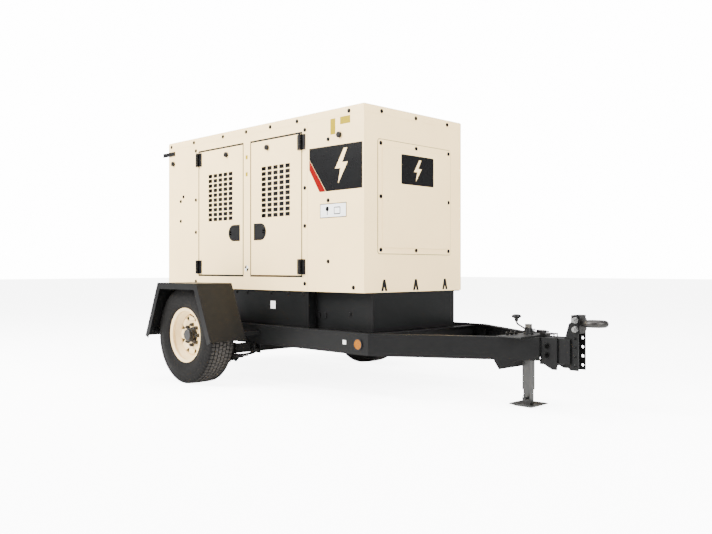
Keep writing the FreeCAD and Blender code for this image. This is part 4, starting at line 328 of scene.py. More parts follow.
# ---- finishes
def powder_coat(name, colour, rough, wear, dust, dust_top=0.9, under=(0.10, 0.095, 0.09), shade=0.2, shine=0.3):
    """Powder-coated sheet: orange peel, slow tone shifts, worn edges and dust."""
    radius = bpy.context.scene.generator_paint.edge_radius
    mat, t, shader = new_material(name, IOR=1.5, Specular_IOR_Level=shine)
    coat = effect(t, "coat_texture", Scale=240.0, Strength=0.10, Radius=radius)
    base = blend(t, ramp(t, coat["Mottle"], 0.3, 0.7), dim(colour, 1 - shade), colour)
    base = blend(t, effect(t, "edge_wear", Radius=radius * 1.4, Amount=wear)["Mask"], base, under)
    soil = effect(t, "road_dust", Amount=dust, Top=dust_top)["Mask"]
    base = blend(t, soil, base, (0.24, 0.20, 0.155))
    roughness = scaled(t, coat["Mottle"], 0.12, rough - 0.06)
    roughness = maths(t, "ADD", roughness, times(t, soil, 0.35), clamp=True)
    feed(shader, Base_Color=base, Roughness=roughness, Normal=coat["Normal"])
    return mat


def zinc_plate(name, colour, rough, patch):
    """Zinc plating with soft crystal patches and duller stains."""
    mat, t, shader = new_material(name, Metallic=1.0)
    coat = effect(t, "coat_texture", Scale=420.0, Strength=0.12,
                  Radius=bpy.context.scene.generator_paint.edge_radius * 0.7)
    tone = crystals(t, patch)
    base = blend(t, tone, dim(colour, 0.74), colour)
    base = blend(t, ramp(t, coat["Mottle"], 0.45, 0.8), base, (0.42, 0.38, 0.30))
    feed(shader, Base_Color=base, Roughness=scaled(t, tone, 0.16, rough - 0.08), Normal=coat["Normal"])
    return mat


def jack_housing():
    """Zinc outer tube between a black mounting plate and a black gear head."""
    plate_top, head_height = 0.0085, 0.052
    low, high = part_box("jack_tube")
    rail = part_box("side_rails")[1].z
    mat, t, shader = new_material("jack_housing")
    coat = effect(t, "coat_texture", Scale=420.0, Strength=0.15, Radius=0.0015)
    tone = crystals(t, 18.0)
    plate = box_mask(t, (low.x - 1, -1, rail - 0.001), (high.x + 1, 1, rail + plate_top))
    head = box_mask(t, (low.x - 1, -1, high.z - head_height), (high.x + 1, 1, 2))
    black = maths(t, "MAXIMUM", plate, head)
    base = blend(t, tone, (0.055, 0.055, 0.054), (0.078, 0.078, 0.076))
    base = blend(t, black, base, (0.0045, 0.0045, 0.0046))
    feed(shader, Base_Color=base, Roughness=scaled(t, tone, 0.16, 0.36),
         Metallic=scaled(t, black, -0.75, 0.95), Normal=coat["Normal"])
    return mat


def forged(name, colour, rough, metallic=1.0, scale=90.0, strength=0.35):
    """Forged or cast iron surface, bare or painted."""
    mat, t, shader = new_material(name, Metallic=metallic)
    radius = bpy.context.scene.generator_paint.edge_radius
    skin = effect(t, "cast_skin", Scale=scale, Strength=strength, Radius=radius)
    feed(shader, Base_Color=blend(t, ramp(t, skin["Height"], 0.5, 1.0), dim(colour, 0.62), colour),
         Roughness=scaled(t, skin["Height"], 0.14, rough - 0.1, clamp=True), Normal=skin["Normal"])
    return mat


def moulded(name, colour, rough=0.5, grain=0.18, shine=0.2):
    """Moulded plastic or rubber-like part with a fine spark-eroded grain and paler rubbed edges."""
    radius = bpy.context.scene.generator_paint.edge_radius
    mat, t, shader = new_material(name, IOR=1.46, Specular_IOR_Level=shine)
    coat = effect(t, "coat_texture", Scale=900.0, Strength=grain, Radius=radius * 0.8)
    worn = effect(t, "edge_wear", Radius=radius, Amount=0.4)["Mask"]
    base = blend(t, ramp(t, coat["Mottle"], 0.3, 0.75), dim(colour, 0.8), colour)
    base = blend(t, times(t, worn, 0.5), base, tuple(min(1, c * 2.5 + 0.015) for c in colour))
    feed(shader, Base_Color=base, Roughness=scaled(t, coat["Mottle"], 0.15, rough - 0.07),
         Normal=coat["Normal"])
    return mat


def tyre_rubber():
    """Black tyre rubber: fine moulding rings on the sidewall, dust held in the tread."""
    shoulder, crown = (0.355, 0.368), (0.386, 0.3905)
    mat, t, shader = new_material("tyre_rubber", IOR=1.5, Specular_IOR_Level=0.07)
    x, _, z = split(t, object_point(t))
    radius = distance(t, x, z)
    rings = maths(t, "SINE", times(t, radius, 1500.0), 0.0)
    grain = noise(t, 160.0, 6.0, 0.7)
    side = maths(t, "SUBTRACT", 1.0, ramp(t, radius, *shoulder))
    height = scaled(t, times(t, rings, side), 0.35, grain)
    slow = noise(t, 7.0, 5.0)
    base = blend(t, ramp(t, slow, 0.3, 0.7), (0.0022, 0.0022, 0.0023), (0.0050, 0.0050, 0.0049))
    base = blend(t, times(t, ramp(t, radius, *crown), 0.75), base, (0.050, 0.046, 0.042))
    base = blend(t, times(t, ramp(t, grain, 0.42, 0.68), 0.10), base, (0.10, 0.09, 0.08))
    feed(shader, Base_Color=base, Roughness=scaled(t, slow, 0.2, 0.55), Normal=bump(t, height, 0.25, 0.0008))
    return mat


def sealing_rubber():
    """Black soft rubber with a fine grain."""
    mat, t, shader = new_material("seal_rubber", Roughness=0.62, Specular_IOR_Level=0.12)
    grain = noise(t, 300.0, 4.0)
    feed(shader, Base_Color=blend(t, grain, (0.0015, 0.0015, 0.0016), (0.0050, 0.0050, 0.0052)),
         Normal=bump(t, grain, 0.2, 0.0004))
    return mat


def acoustic_foam():
    """Open-celled black foam."""
    mat, t, shader = new_material("lining_foam", Roughness=0.95)
    pores = cells(t, 420.0)["Distance"]
    feed(shader, Base_Color=blend(t, pores, (0.006, 0.006, 0.007), (0.030, 0.030, 0.032)),
         Normal=bump(t, pores, 0.8, 0.001))
    return mat


def label_film(name, colour):
    """Printed vinyl with a clear film over it."""
    mat, t, shader = new_material(name, Coat_Weight=0.06, Coat_Roughness=0.12, IOR=1.47, Specular_IOR_Level=0.12)
    ripple = noise(t, 18.0, 5.0)
    feed(shader, Base_Color=blend(t, ramp(t, ripple, 0.3, 0.8), colour, dim(colour, 0.96)),
         Roughness=scaled(t, ripple, 0.1, 0.23), Normal=bump(t, ripple, 0.02, 0.002))
    return mat


def lamp_plastics():
    """One material for all lamps: amber lens in a black bezel, white side squares, red tail lamps."""
    lens_radius, lens_in, lens_up = 0.0348, 0.042, 0.038
    low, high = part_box("marker_lamps")
    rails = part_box("side_rails")
    mat, t, shader = new_material("lamp_plastics", Coat_Weight=0.04, Coat_Roughness=0.05, Roughness=0.2,
                                  Specular_IOR_Level=0.12)
    x, _, z = split(t, object_point(t))
    centre = high.x - lens_in
    spread = distance(t, maths(t, "SUBTRACT", x, centre),
                      maths(t, "SUBTRACT", z, 0.5 * (rails[0].z + rails[1].z) + lens_up))
    prisms = cells(t, 260.0, distance="MANHATTAN")["Distance"]
    amber = blend(t, prisms, (0.30, 0.11, 0.0), (0.20, 0.06, 0.0))
    base = blend(t, maths(t, "LESS_THAN", spread, lens_radius), (0.012, 0.012, 0.013), amber)
    base = blend(t, box_mask(t, (centre - 0.20, -2, 0), (centre - 0.08, 2, 2)), base, (0.72, 0.72, 0.70))
    base = blend(t, box_mask(t, (low.x - 0.1, -2, 0), (low.x + 0.2, 2, 2)), base, (0.42, 0.010, 0.008))
    feed(shader, Base_Color=base, Normal=bump(t, prisms, 0.35, 0.001))
    return mat


def panel_finish():
    """Textured grey control panel with a dark screen, black breaker and black outlet caps."""
    low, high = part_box("control_panel")
    face = low.x + 0.0088
    mat, t, shader = new_material("panel_finish")
    coat = effect(t, "coat_texture", Scale=500.0, Strength=0.25, Radius=0.0015)
    screen = box_mask(t, (low.x - 0.01, high.y - 0.312, high.z - 0.202), (face, high.y - 0.038, high.z - 0.068))
    proud = box_mask(t, (low.x - 0.01, -2, 0), (face, 2, 3))
    base = blend(t, coat["Mottle"], (0.20, 0.205, 0.21), (0.27, 0.275, 0.28))
    base = blend(t, proud, base, (0.016, 0.016, 0.017))
    base = blend(t, screen, base, (0.010, 0.022, 0.030))
    feed(shader, Base_Color=base, Roughness=scaled(t, screen, -0.40, 0.48), Normal=coat["Normal"])
    return mat


def radiator_finish():
    """Black radiator with tubes and folded fins on its faces."""
    mat, t, shader = new_material("radiator_finish", Metallic=0.4, Roughness=0.45)
    fins, tubes = (
        add_node(t, "ShaderNodeTexWave", {"Vector": object_point(t), "Scale": scale, "Distortion": wobble},
                 bands_direction=along).outputs["Fac"]
        for scale, wobble, along in ((90.0, 0.3, "Z"), (26.0, 0.0, "Y")))
    height = scaled(t, fins, 0.5, tubes)
    feed(shader, Base_Color=blend(t, height, (0.010, 0.010, 0.011), (0.070, 0.070, 0.072)),
         Normal=bump(t, height, 0.6, 0.003))
    return mat


def hitch_fasteners():
    """Hitch bolts: zinc where they hold the channel, black on the shoe behind it."""
    low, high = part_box("hitch_box")
    mat, t, shader = new_material("hitch_fasteners", Metallic=0.9)
    skin = effect(t, "cast_skin", Scale=260.0, Strength=0.12, Radius=0.0015)
    base = blend(t, ramp(t, skin["Height"], 0.5, 1.0), (0.13, 0.13, 0.128), (0.27, 0.27, 0.265))
    base = blend(t, box_mask(t, (low.x - 0.1, -1, 0), (high.x + 0.01, 1, 1)), base, (0.006, 0.006, 0.006))
    feed(shader, Base_Color=base, Roughness=scaled(t, skin["Height"], 0.15, 0.28), Normal=skin["Normal"])
    return mat


def exhaust_finish():
    """Aluminised steel with heat tint in slow bands."""
    mat, t, shader = new_material("exhaust_finish", Metallic=1.0)
    skin = effect(t, "cast_skin", Scale=160.0, Strength=0.15, Radius=0.002)
    slow = noise(t, 5.0, 4.0)
    feed(shader, Base_Color=blend(t, ramp(t, slow, 0.35, 0.65), (0.30, 0.28, 0.26), (0.20, 0.13, 0.09)),
         Roughness=scaled(t, slow, 0.2, 0.32), Normal=skin["Normal"])
    return mat


def machined_finish():
    """Turned steel: fine rings round the main shaft."""
    mat, t, shader = new_material("machined_finish", Metallic=1.0)
    along = add_node(t, "ShaderNodeCombineXYZ", {0: split(t, object_point(t))[0]}).outputs[0]
    lines = noise(t, 900.0, 3.0, point=along)
    feed(shader, Base_Color=blend(t, lines, (0.34, 0.34, 0.34), (0.52, 0.51, 0.50)),
         Roughness=scaled(t, lines, 0.2, 0.24), Normal=bump(t, lines, 0.2, 0.0005))
    return mat


def hub_finish():
    """Black hub and studs with rubbed edges."""
    mat, t, shader = new_material("hub_finish", Metallic=0.2)
    skin = effect(t, "cast_skin", Scale=120.0, Strength=0.3, Radius=0.0018)
    worn = effect(t, "edge_wear", Radius=0.003, Amount=0.7)["Mask"]
    base = blend(t, ramp(t, skin["Height"], 0.5, 1.0), (0.004, 0.004, 0.0042), (0.014, 0.014, 0.0142))
    base = blend(t, times(t, worn, 0.4), base, (0.16, 0.15, 0.14))
    feed(shader, Base_Color=base, Roughness=scaled(t, skin["Height"], 0.15, 0.34), Normal=skin["Normal"])
    return mat


def at_doors(stem):
    """Names of one piece at each of the four doors."""
    return ["%s_%s_%s" % (stem, *door) for door in DOORS]


def make_finishes():
    """Each finish with the names of the parts that carry it."""
    s = bpy.context.scene.generator_paint
    sand, black = tuple(s.sand), tuple(s.black)
    return (
        (powder_coat("sand_coat", sand, 0.34, s.wear * 0.25, s.dirt * 0.5, 1.1, (0.30, 0.26, 0.20), 0.05),
         ["side_walls", "front_housing", "front_cover", "rear_wall", "rear_door", "roof"] + at_doors("door")),
        (powder_coat("wheel_coat", dim(sand, 0.88), 0.36, s.wear * 0.4, s.dirt * 1.5, shade=0.08),
         ["rim_left", "rim_right"]),
        (powder_coat("chassis_coat", black, 0.42, s.wear, s.dirt * 0.06, under=(0.035, 0.034, 0.032), shine=0.12),
         ["side_rails", "tongue_beams", "cross_members", "fenders", "skid_base", "fuel_tank", "hitch_box",
          "drawbar"]),
        (powder_coat("axle_coat", dim(black, 0.8), 0.5, s.wear, s.dirt * 0.6, 0.7, shine=0.15),
         ["axle_beam", "u_bolts", "leaf_springs"]),
        (hub_finish(), ["hub_left", "hub_right"]),
        (forged("ring_iron", (0.050, 0.048, 0.046), 0.46), ["lunette_ring"]),
        (forged("dark_steel", (0.035, 0.034, 0.033), 0.42, 1.0, 140.0, 0.2), ["safety_chains", "tongue_fittings"]),
        (hitch_fasteners(), ["hitch_bolts"]),
        (zinc_plate("zinc_jack", (0.075, 0.075, 0.073), 0.42, 18.0),
         ["jack_leg", "jack_foot", "crank_handle", "foot_pin"]),
        (jack_housing(), ["jack_tube"]),
        (moulded("knob_plastic", (0.004, 0.004, 0.0042), 0.42), ["crank_knob", "start_switch", "breaker_handle"]),
        (lamp_plastics(), ["marker_lamps"]),
        (moulded("hinge_black", (0.003, 0.003, 0.0032), 0.40, 0.1), ["hinge_brackets"] + at_doors("hardware")),
        (moulded("latch_black", (0.005, 0.005, 0.0052), 0.36, 0.12), at_doors("paddle")),
        (moulded("screw_caps", (0.0015, 0.0015, 0.0015), 0.50, 0.05, 0.12), ["panel_screws"]),
        (forged("engine_paint", (0.10, 0.105, 0.11), 0.5, 0.0, 70.0, 0.3), ["engine_block"]),
        (forged("alternator_paint", (0.14, 0.15, 0.16), 0.5, 0.0, 80.0, 0.25), ["alternator"]),
        (machined_finish(), ["crank_train"]),
        (moulded("fan_plastic", (0.020, 0.020, 0.021)), ["cooling_fan"]),
        (radiator_finish(), ["radiator"]),
        (moulded("battery_case", (0.022, 0.022, 0.024), 0.45), ["battery"]),
        (exhaust_finish(), ["muffler", "rain_cap"]),
        (panel_finish(), ["control_panel"]),
        (moulded("stop_red", (0.55, 0.015, 0.012), 0.25, 0.03), ["emergency_stop"]),
    )


# ---- mesh building
def mesh_object(name, vertices, faces, smooth=0.6):
    """Object from points and faces; faces meeting at less than the angle are shaded smooth."""
    mesh = bpy.data.meshes.new(name)
    mesh.from_pydata([tuple(v) for v in vertices], [], faces)
    bm = bmesh.new()
    bm.from_mesh(mesh)
    bmesh.ops.recalc_face_normals(bm, faces=bm.faces)
    for edge in bm.edges:
        edge.smooth = len(edge.link_faces) == 2 and edge.calc_face_angle(3.0) < smooth
    for face in bm.faces:
        face.smooth = True
    bm.to_mesh(mesh)
    bm.free()
    return linked(name, mesh)


def linked(name, data):
    """Object round a mesh, light or camera, put in the scene."""
    obj = bpy.data.objects.new(name, data)
    bpy.context.scene.collection.objects.link(obj)
    return obj


def put(obj, body, material):
    """Gives a piece its material and the body it rides on."""
    obj.data.materials.clear()
    obj.data.materials.append(material)
    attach(obj, body)
    return obj


def merged(name, objs):
    """Joins mesh objects into one, keeping shading."""
    bm = bmesh.new()
    for obj in objs:
        bm.from_mesh(obj.data)
        bpy.data.objects.remove(obj)
    mesh = bpy.data.meshes.new(name)
    bm.to_mesh(mesh)
    bm.free()
    return linked(name, mesh)


def ring_faces(n, m, closed=True):
    """Quads between n rings of m points; closed joins the last ring to the first."""
    return [(i * m + j, (i + 1) % n * m + j, (i + 1) % n * m + (j + 1) % m, i * m + (j + 1) % m)
            for i in range(n if closed else n - 1) for j in range(m)]


def swept(name, loop, section, place):
    """Closed section carried round a closed loop of (u, v, outward u, outward v) points.
    Each section point is (outward, depth); place turns (u, v, depth) into a point."""
    vertices = [place(u + nu * off, v + nv * off, depth) for u, v, nu, nv in loop for off, depth in section]
    return mesh_object(name, vertices, ring_faces(len(loop), len(section)))


def turned(rings, count, place):
    """Points and faces of a solid of (radius, height) rings; place turns (across, up, height) into a point."""
    angles = [2 * math.pi * k / count for k in range(count)]
    points = [place(r * math.cos(a), r * math.sin(a), h) for r, h in rings for a in angles]
    last = (len(rings) - 1) * count
    return points, ring_faces(len(rings), count, False) + [tuple(range(count)), tuple(range(last, last + count))]


def rounded_loop(x0, x1, z0, z1, radius, steps=5):
    """Rounded rectangle as (x, z, outward x, outward z) points."""
    points = []
    corners = ((x1 - radius, z1 - radius), (x0 + radius, z1 - radius), (x0 + radius, z0 + radius),
               (x1 - radius, z0 + radius))
    for turn, (cx, cz) in enumerate(corners):
        for k in range(steps + 1):
            a = math.radians(90 * turn + 90 * k / steps)
            points.append((cx + radius * math.cos(a), cz + radius * math.sin(a), math.cos(a), math.sin(a)))
    return points


# ---- tyres
def tread_rows(settings, outer, half, bead):
    """Rows across the tyre, outside then inside: radius of the floor, y, rib number or None, top radius."""
    depth, ribs = settings.depth, settings.ribs
    gap, flare, crown_drop = 0.0075, 0.0006, 0.0030
    tread_half = half - 0.019
    width = (2 * tread_half - gap * (ribs - 1)) / ribs
    # bead, rim guard, plain band and scuff ridge: height over the bead and share of the width
    side = [(bead + rise, half * share) for rise, share in (
        (0.001, 0.757), (0.010, 0.80), (0.024, 0.835), (0.026, 0.87), (0.031, 0.885), (0.033, 0.90),
        (0.070, 0.992), (0.095, 1.0), (0.118, 0.992), (0.121, 0.982), (0.132, 0.975), (0.135, 0.972))]
    shoulder = [(outer - drop, half * share) for drop, share in ((0.034, 0.955), (0.020, 0.925), (0.009, 0.888))]
    inner = [(bead + 0.014, half * 0.66), (bead + 0.070, half - 0.012), (outer - 0.034, half - 0.018),
             (outer - 0.019, tread_half - 0.012)]
    rows = [(r, -y, None, r) for r, y in side]
    rows += [(r - depth * 0.55, -y, 0, r) for r, y in shoulder]
    for k in range(ribs):
        y0 = -tread_half + k * (width + gap)
        crown = [outer - crown_drop * ((y0 + width * f) / tread_half) ** 2 for f in (0, 0.5, 1)]
        if k:
            rows.append((crown[0] - depth, y0 - flare, None, crown[0] - depth))
        for f, top in zip((0.0, 0.5, 1.0), crown):
            rows.append((top - depth, y0 + width * f, k, top))
        if k < ribs - 1:
            rows.append((crown[2] - depth, y0 + width + flare, None, crown[2] - depth))
    rows += [(r - depth * 0.55, y, ribs - 1, r) for r, y in reversed(shoulder)]
    rows += [(r, y, None, r) for r, y in reversed(side)]
    rows += [(r, y, None, r) for r, y in inner]
    rows += [(r, -y, None, r) for r, y in reversed(inner)]
    return rows


def build_tyre(side):
    """Tyre with staggered, slanted tread blocks, grooves between the ribs and a hollow inside."""
    settings = bpy.context.scene.generator_tyre
    low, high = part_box("tyre_" + side)
    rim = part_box("rim_" + side)
    bead = (rim[1].z - rim[0].z) / 2 - 0.0173
    rows = tread_rows(settings, (high.z - low.z) / 2 - CLEAR, (high.y - low.y) / 2 - CLEAR, bead)
    steps = ((0.0, 1), (0.02, 0), (0.17, 0), (0.19, 1), (0.42, 1), (0.60, 1), (0.80, 1))
    shifts = (0.0, 0.45, 0.1, 0.6, 0.15, 0.5, 0.2)
    pitch = 2 * math.pi / settings.blocks
    vertices = []
    for floor, y, rib, top in rows:
        slant = 0.0 if rib is None else shifts[rib % 7] + 6.0 * abs(y) * (0.5 if rib % 2 else -0.5)
        for b in range(settings.blocks):
            for part, raised in steps:
                angle = (b + part + slant) * pitch
                r = top if rib is None or raised else floor
                vertices.append((r * math.cos(angle), y, r * math.sin(angle)))
    faces = ring_faces(len(rows), settings.blocks * len(steps))
    tyre = mesh_object("treaded_tyre_" + side, vertices, faces, 0.7)
    if side == "left":
        tyre.data.transform(Matrix.Rotation(math.pi, 4, "Z"))
    tyre.location = (low + high) / 2
    return tyre


def build_valve(side):
    """Rubber valve stem that stands out of the rim's well."""
    low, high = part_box("rim_" + side)
    sign = SIDES[side]
    rings = ((0.0075, 0.0), (0.0075, 0.004), (0.0045, 0.008), (0.0040, 0.030), (0.0046, 0.032), (0.0046, 0.040),
             (0.0028, 0.042))
    stem = mesh_object("valve_stem_" + side, *turned(rings, 16, lambda *point: point))
    face = high.y if sign > 0 else low.y
    spot = Vector(((low.x + high.x) / 2 + 0.05, face - sign * 0.052, (low.z + high.z) / 2 + 0.148))
    stem.data.transform(Matrix.Translation(spot) @ Matrix.Rotation(math.radians(-sign * 62), 4, "X"))
    return stem


# ---- doors
def opening(kind, side):
    """Door opening of one side: x0, x1, z0, z1 and the wall's outer face."""
    low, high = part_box("door_%s_%s" % (kind, side))
    outer = high.y if SIDES[side] > 0 else low.y
    return low.x - DOOR_GAP_X, high.x + DOOR_GAP_X, low.z - DOOR_GAP_Z, high.z + DOOR_GAP_Z, outer


def build_door_trim_and_gap_shade(kind, side):
    """Black edge trim in the door gap, partly a real gasket and partly painted shade that keeps the gap dark, and a
    bulb seal on the door stop.
    """
    flange, reach, stop, seal_in, seal_round = 0.007, 0.0305, 0.033, 0.0125, 0.012
    s = bpy.context.scene.generator_trim
    x0, x1, z0, z1, outer = opening(kind, side)
    sign = SIDES[side]
    outer_x, outer_z = (x0 + 0.0001, x1 - 0.0001), (z0 + 0.0001, z1 - 0.0001)
    inner_x, inner_z = (x0 + s.side_trim, x1 - s.side_trim), (z0 + s.end_trim, z1 - s.end_trim)
    vertices = []
    for a, b in ((0, 0), (1, 0), (1, 1), (0, 1)):
        ox, oz, ix, iz = outer_x[a], outer_z[b], inner_x[a], inner_z[b]
        lip = (ox + (flange if a else -flange), oz + (flange if b else -flange))
        for (x, z), depth in ((lip, -CLEAR), (lip, -0.0010), ((ix, iz), -0.0010), ((ix, iz), reach),
                              ((ox, oz), reach + 0.0010), ((ox, oz), -CLEAR)):
            vertices.append((x, outer - sign * depth, z))
    # black trim filling the door gap: a gasket, and also painted shade that darkens the gap round each door
    trim = mesh_object("trim", vertices, ring_faces(4, 6))
    loop = rounded_loop(x0 + seal_in, x1 - seal_in, z0 + seal_in, z1 - seal_in, seal_round)
    bulb = ((0.004, 0.0001), (0.004, 0.0010), (0.0028, 0.0022), (0.0, 0.0027), (-0.0028, 0.0022),
            (-0.004, 0.0010), (-0.004, 0.0001))
    seal = swept("bulb", loop, bulb, lambda x, z, rise: (x, outer - sign * (stop - rise), z))
    return merged("door_seal_%s_%s" % (kind, side), [trim, seal])


def foam_pad(name, x0, x1, z0, z1, back, sign, height):
    """Egg-crate foam slab: flat back on the door skin, rows of soft peaks towards the inside."""
    cell, rim_share, valley = 0.0125, 0.35, 0.45
    cols, rows = max(2, round((x1 - x0) / cell)), max(2, round((z1 - z0) / cell))
    vertices = []
    for i in range(cols + 1):
        for j in range(rows + 1):
            edge = i in (0, cols) or j in (0, rows)
            wave = 0.5 + 0.5 * math.cos(i * math.pi / 2) * math.cos(j * math.pi / 2)
            depth = height * (rim_share if edge else valley + (1 - valley) * wave)
            vertices.append((x0 + (x1 - x0) * i / cols, back - sign * depth, z0 + (z1 - z0) * j / rows))
    top = len(vertices)
    stride = rows + 1
    rim = [i * stride for i in range(cols + 1)] + [cols * stride + j for j in range(1, rows + 1)]
    rim += [i * stride + rows for i in range(cols - 1, -1, -1)] + list(range(rows - 1, 0, -1))
    vertices += [(vertices[v][0], back, vertices[v][2]) for v in rim]
    faces = [(a, a + stride, a + stride + 1, a + 1)
             for i in range(cols) for a in range(i * stride, i * stride + rows)]
    n = len(rim)
    faces += [(rim[k], rim[(k + 1) % n], top + (k + 1) % n, top + k) for k in range(n)]
    faces.append(tuple(range(top, top + n)))
    return mesh_object(name, vertices, faces, 1.2)


def vent_hood(name, x0, x1, z0, z1, skin, sign):
    """Pressed black hood behind the vents: flange on the skin, sloping sides, flat floor."""
    profile = ((0.0, 0.0004), (0.0, 0.0016), (-0.010, 0.0016), (-0.016, 0.0215), (-0.030, 0.0225))
    under = ((-0.011, 0.0004), (-0.0172, 0.0203))
    loop = rounded_loop(x0, x1, z0, z1, 0.034)

    def ring(points):
        return [(x + nx * off, skin - sign * depth, z + nz * off) for x, z, nx, nz in loop for off, depth in points]

    n, m = len(loop), len(profile)
    vertices = ring(profile) + ring(under[:1]) + ring(under[1:])
    faces = []
    for i in range(n):
        q = (i + 1) % n
        faces += [(i * m + j, q * m + j, q * m + j + 1, i * m + j + 1) for j in range(m - 1)]
        faces.append((i * m, q * m, n * m + q, n * m + i))
        faces.append((n * m + i, n * m + q, n * m + n + q, n * m + n + i))
    faces.append(tuple(i * m + m - 1 for i in range(n)))
    faces.append(tuple(reversed(range(n * m + n, n * m + 2 * n))))
    return mesh_object(name, vertices, faces)


def build_lining(kind, side):
    """Foam above and below, and the hood behind the vents, for one door."""
    skin_in, foam_in, foam_low, vent_width, vent_height, margin = 0.0033, 0.030, 0.27, 0.366, 0.416, 0.026
    x0, x1, z0, z1, outer = opening(kind, side)
    sign = SIDES[side]
    skin = outer - sign * skin_in
    vent = x0 + 0.1515 if kind == "rear" else x1 - 0.1415 - vent_width
    vent_top = z1 - 0.2225
    height = bpy.context.scene.generator_trim.foam_height
    pads = [foam_pad("pad", x0 + foam_in, x1 - foam_in, low, high, skin, sign, height)
            for low, high in ((z0 + foam_in, z0 + foam_low), (vent_top + 0.05, z1 - foam_in))]
    lining = merged("door_lining_%s_%s" % (kind, side), pads)
    hood = vent_hood("vent_hood_%s_%s" % (kind, side), vent - margin, vent + vent_width + margin,
                     vent_top - vent_height - margin, vent_top + margin, skin, sign)
    return lining, hood


# ---- labels
def flat_label(name, outline, plane, axis, sign, lift=0.0003, thick=0.0003):
    """Thin sticker: outline points (u, z) on the plane y = plane or x = plane, standing out along sign."""
    vertices = []
    for depth in (lift, lift + thick):
        p = plane + sign * depth
        vertices += [(u, p, z) if axis == "y" else (p, u, z) for u, z in outline]
    n = len(outline)
    return mesh_object(name, vertices, [tuple(range(n)), tuple(range(n, 2 * n))] + ring_faces(2, n, False), 0.3)


def rounded_polygon(points, radius=0.003, steps=4):
    """Polygon with each corner rounded."""
    out = []
    for i, p in enumerate(points):
        a, b, c = Vector(points[i - 1]), Vector(p), Vector(points[(i + 1) % len(points)])
        u, w = (a - b).normalized(), (c - b).normalized()
        reach = min(radius / max(0.2, math.tan(u.angle(w) / 2)), 0.4 * (a - b).length, 0.4 * (c - b).length)
        start, end = b + u * reach, b + w * reach
        for f in (k / steps for k in range(steps + 1)):
            out.append(tuple(start * (1 - f) ** 2 + b * 2 * f * (1 - f) + end * f ** 2))
    return out


def spark(cx, cz, size):
    """Plain lightning spark outline."""
    shape = ((0.10, 0.50), (-0.26, -0.06), (-0.04, -0.06), (-0.14, -0.50), (0.26, 0.10), (0.03, 0.10), (0.24, 0.50))
    return [(cx + x * size, cz + z * size) for x, z in shape]


def oblong(u, z, width, height):
    """Corners of an oblong from its lower corner."""
    return [(u, z), (u + width, z), (u + width, z + height), (u, z + height)]


def build_labels(film):
    """Side labels on both flanks, the cover label, and the small plates."""
    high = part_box("front_housing")[1]
    front, top = high.x, high.z
    pillar, quarter_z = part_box("side_walls")[0].x + 1.236, top - 1.132
    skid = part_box("skid_base")[1]
    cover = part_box("front_cover")[1].x

    def from_edges(points):
        """Outline given by distances back from the front and down from the top."""
        return [(front - back, top - down) for back, down in points]

    def plate(back, down, width, height):
        return oblong(front - back, top - down, width, height)

    # name, outline, film, corner radius, lift
    on_side = [
        ("side_field", from_edges(((0.594, 0.209), (0.594, 0.292), (0.403, 0.551), (0.017, 0.550), (0.017, 0.215))),
         "field", 0.003, 0.0003),
        ("side_stripe", from_edges(((0.594, 0.296), (0.594, 0.372), (0.477, 0.551), (0.407, 0.551))),
         "stripe", 0.003, 0.0003),
        ("side_spark", spark(front - 0.235, top - 0.372, 0.26), "sand", 0.002, 0.0008),
        ("side_plate_edge", plate(0.470, 0.752, 0.290, 0.109), "field", 0.003, 0.0003),
        ("side_plate", plate(0.464, 0.746, 0.278, 0.097), "white", 0.003, 0.0008),
        ("plate_sign_ring", rounded_polygon(plate(0.405, 0.700, 0.034, 0.034), 0.016), "field", 0.001, 0.0013),
        ("plate_sign_stem", plate(0.392, 0.730, 0.008, 0.032), "field", 0.001, 0.0013),
        ("plate_sign_page", plate(0.315, 0.728, 0.070, 0.056), "field", 0.008, 0.0013),
        ("plate_sign_inside", plate(0.308, 0.721, 0.056, 0.042), "white", 0.004, 0.0018),
        ("yellow_label_tall", plate(0.355, 0.129, 0.054, 0.118), "yellow", 0.003, 0.0003),
        ("yellow_label_wide", plate(0.249, 0.064, 0.107, 0.055), "yellow", 0.003, 0.0003),
    ] + [("pillar_label_%d" % k, oblong(pillar - 0.014, top - down - 0.017, 0.028, 0.034), "yellow", 0.003, 0.0003)
         for k, down in enumerate((0.192, 0.336))]
    for side, sign in SIDES.items():
        for name, outline, kind, radius, lift in on_side:
            points = rounded_polygon(outline, radius)
            label = flat_label("%s_%s" % (name, side), points, sign * high.y, "y", sign, lift)
            put(label, "trailer", film[kind])
        for k in range(4):
            arc = [math.radians(90 * k + 15 * i) for i in range(7)]
            wedge = [(pillar, quarter_z)] + [(pillar + 0.026 * math.cos(a), quarter_z + 0.026 * math.sin(a))
                                             for a in arc]
            label = flat_label("pillar_quarter_%d_%s" % (k, side), wedge, sign * high.y, "y", sign)
            put(label, "trailer", film["field" if k % 2 else "white"])
        tag = rounded_polygon(oblong(skid.x - 1.082, skid.z - 0.150, 0.062, 0.062))
        put(flat_label("skid_label_" + side, tag, sign * skid.y, "y", sign), "trailer", film["white"])
    field = rounded_polygon(oblong(-0.180, top - 0.496, 0.380, 0.226), 0.012)
    put(flat_label("cover_label_field", field, cover, "x", 1), "trailer", film["field"])
    mark = spark(0.010, top - 0.383, 0.17)
    put(flat_label("cover_label_spark", mark, cover, "x", 1, 0.0008), "trailer", film["sand"])


# ---- front wall trim
def build_cover_seal_and_shade_line():
    """Rubber gasket squeezed out round the edge of the service cover; its dark line also stands in for the shadow
    round the raised cover, as a painted shadow.
    """
    low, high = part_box("front_cover")
    wall = low.x - CLEAR
    section = ((0.0002, 0.0002), (0.0032, 0.0002), (0.0038, 0.0010), (0.0030, 0.0019), (0.0002, 0.0021))
    # dark gasket frame: partly a real gasket, partly a painted shadow line round the raised cover
    return swept("cover_gasket", rounded_loop(low.y, high.y, low.z, high.z, 0.018), section,
                 lambda y, z, out: (wall + out, y, z))


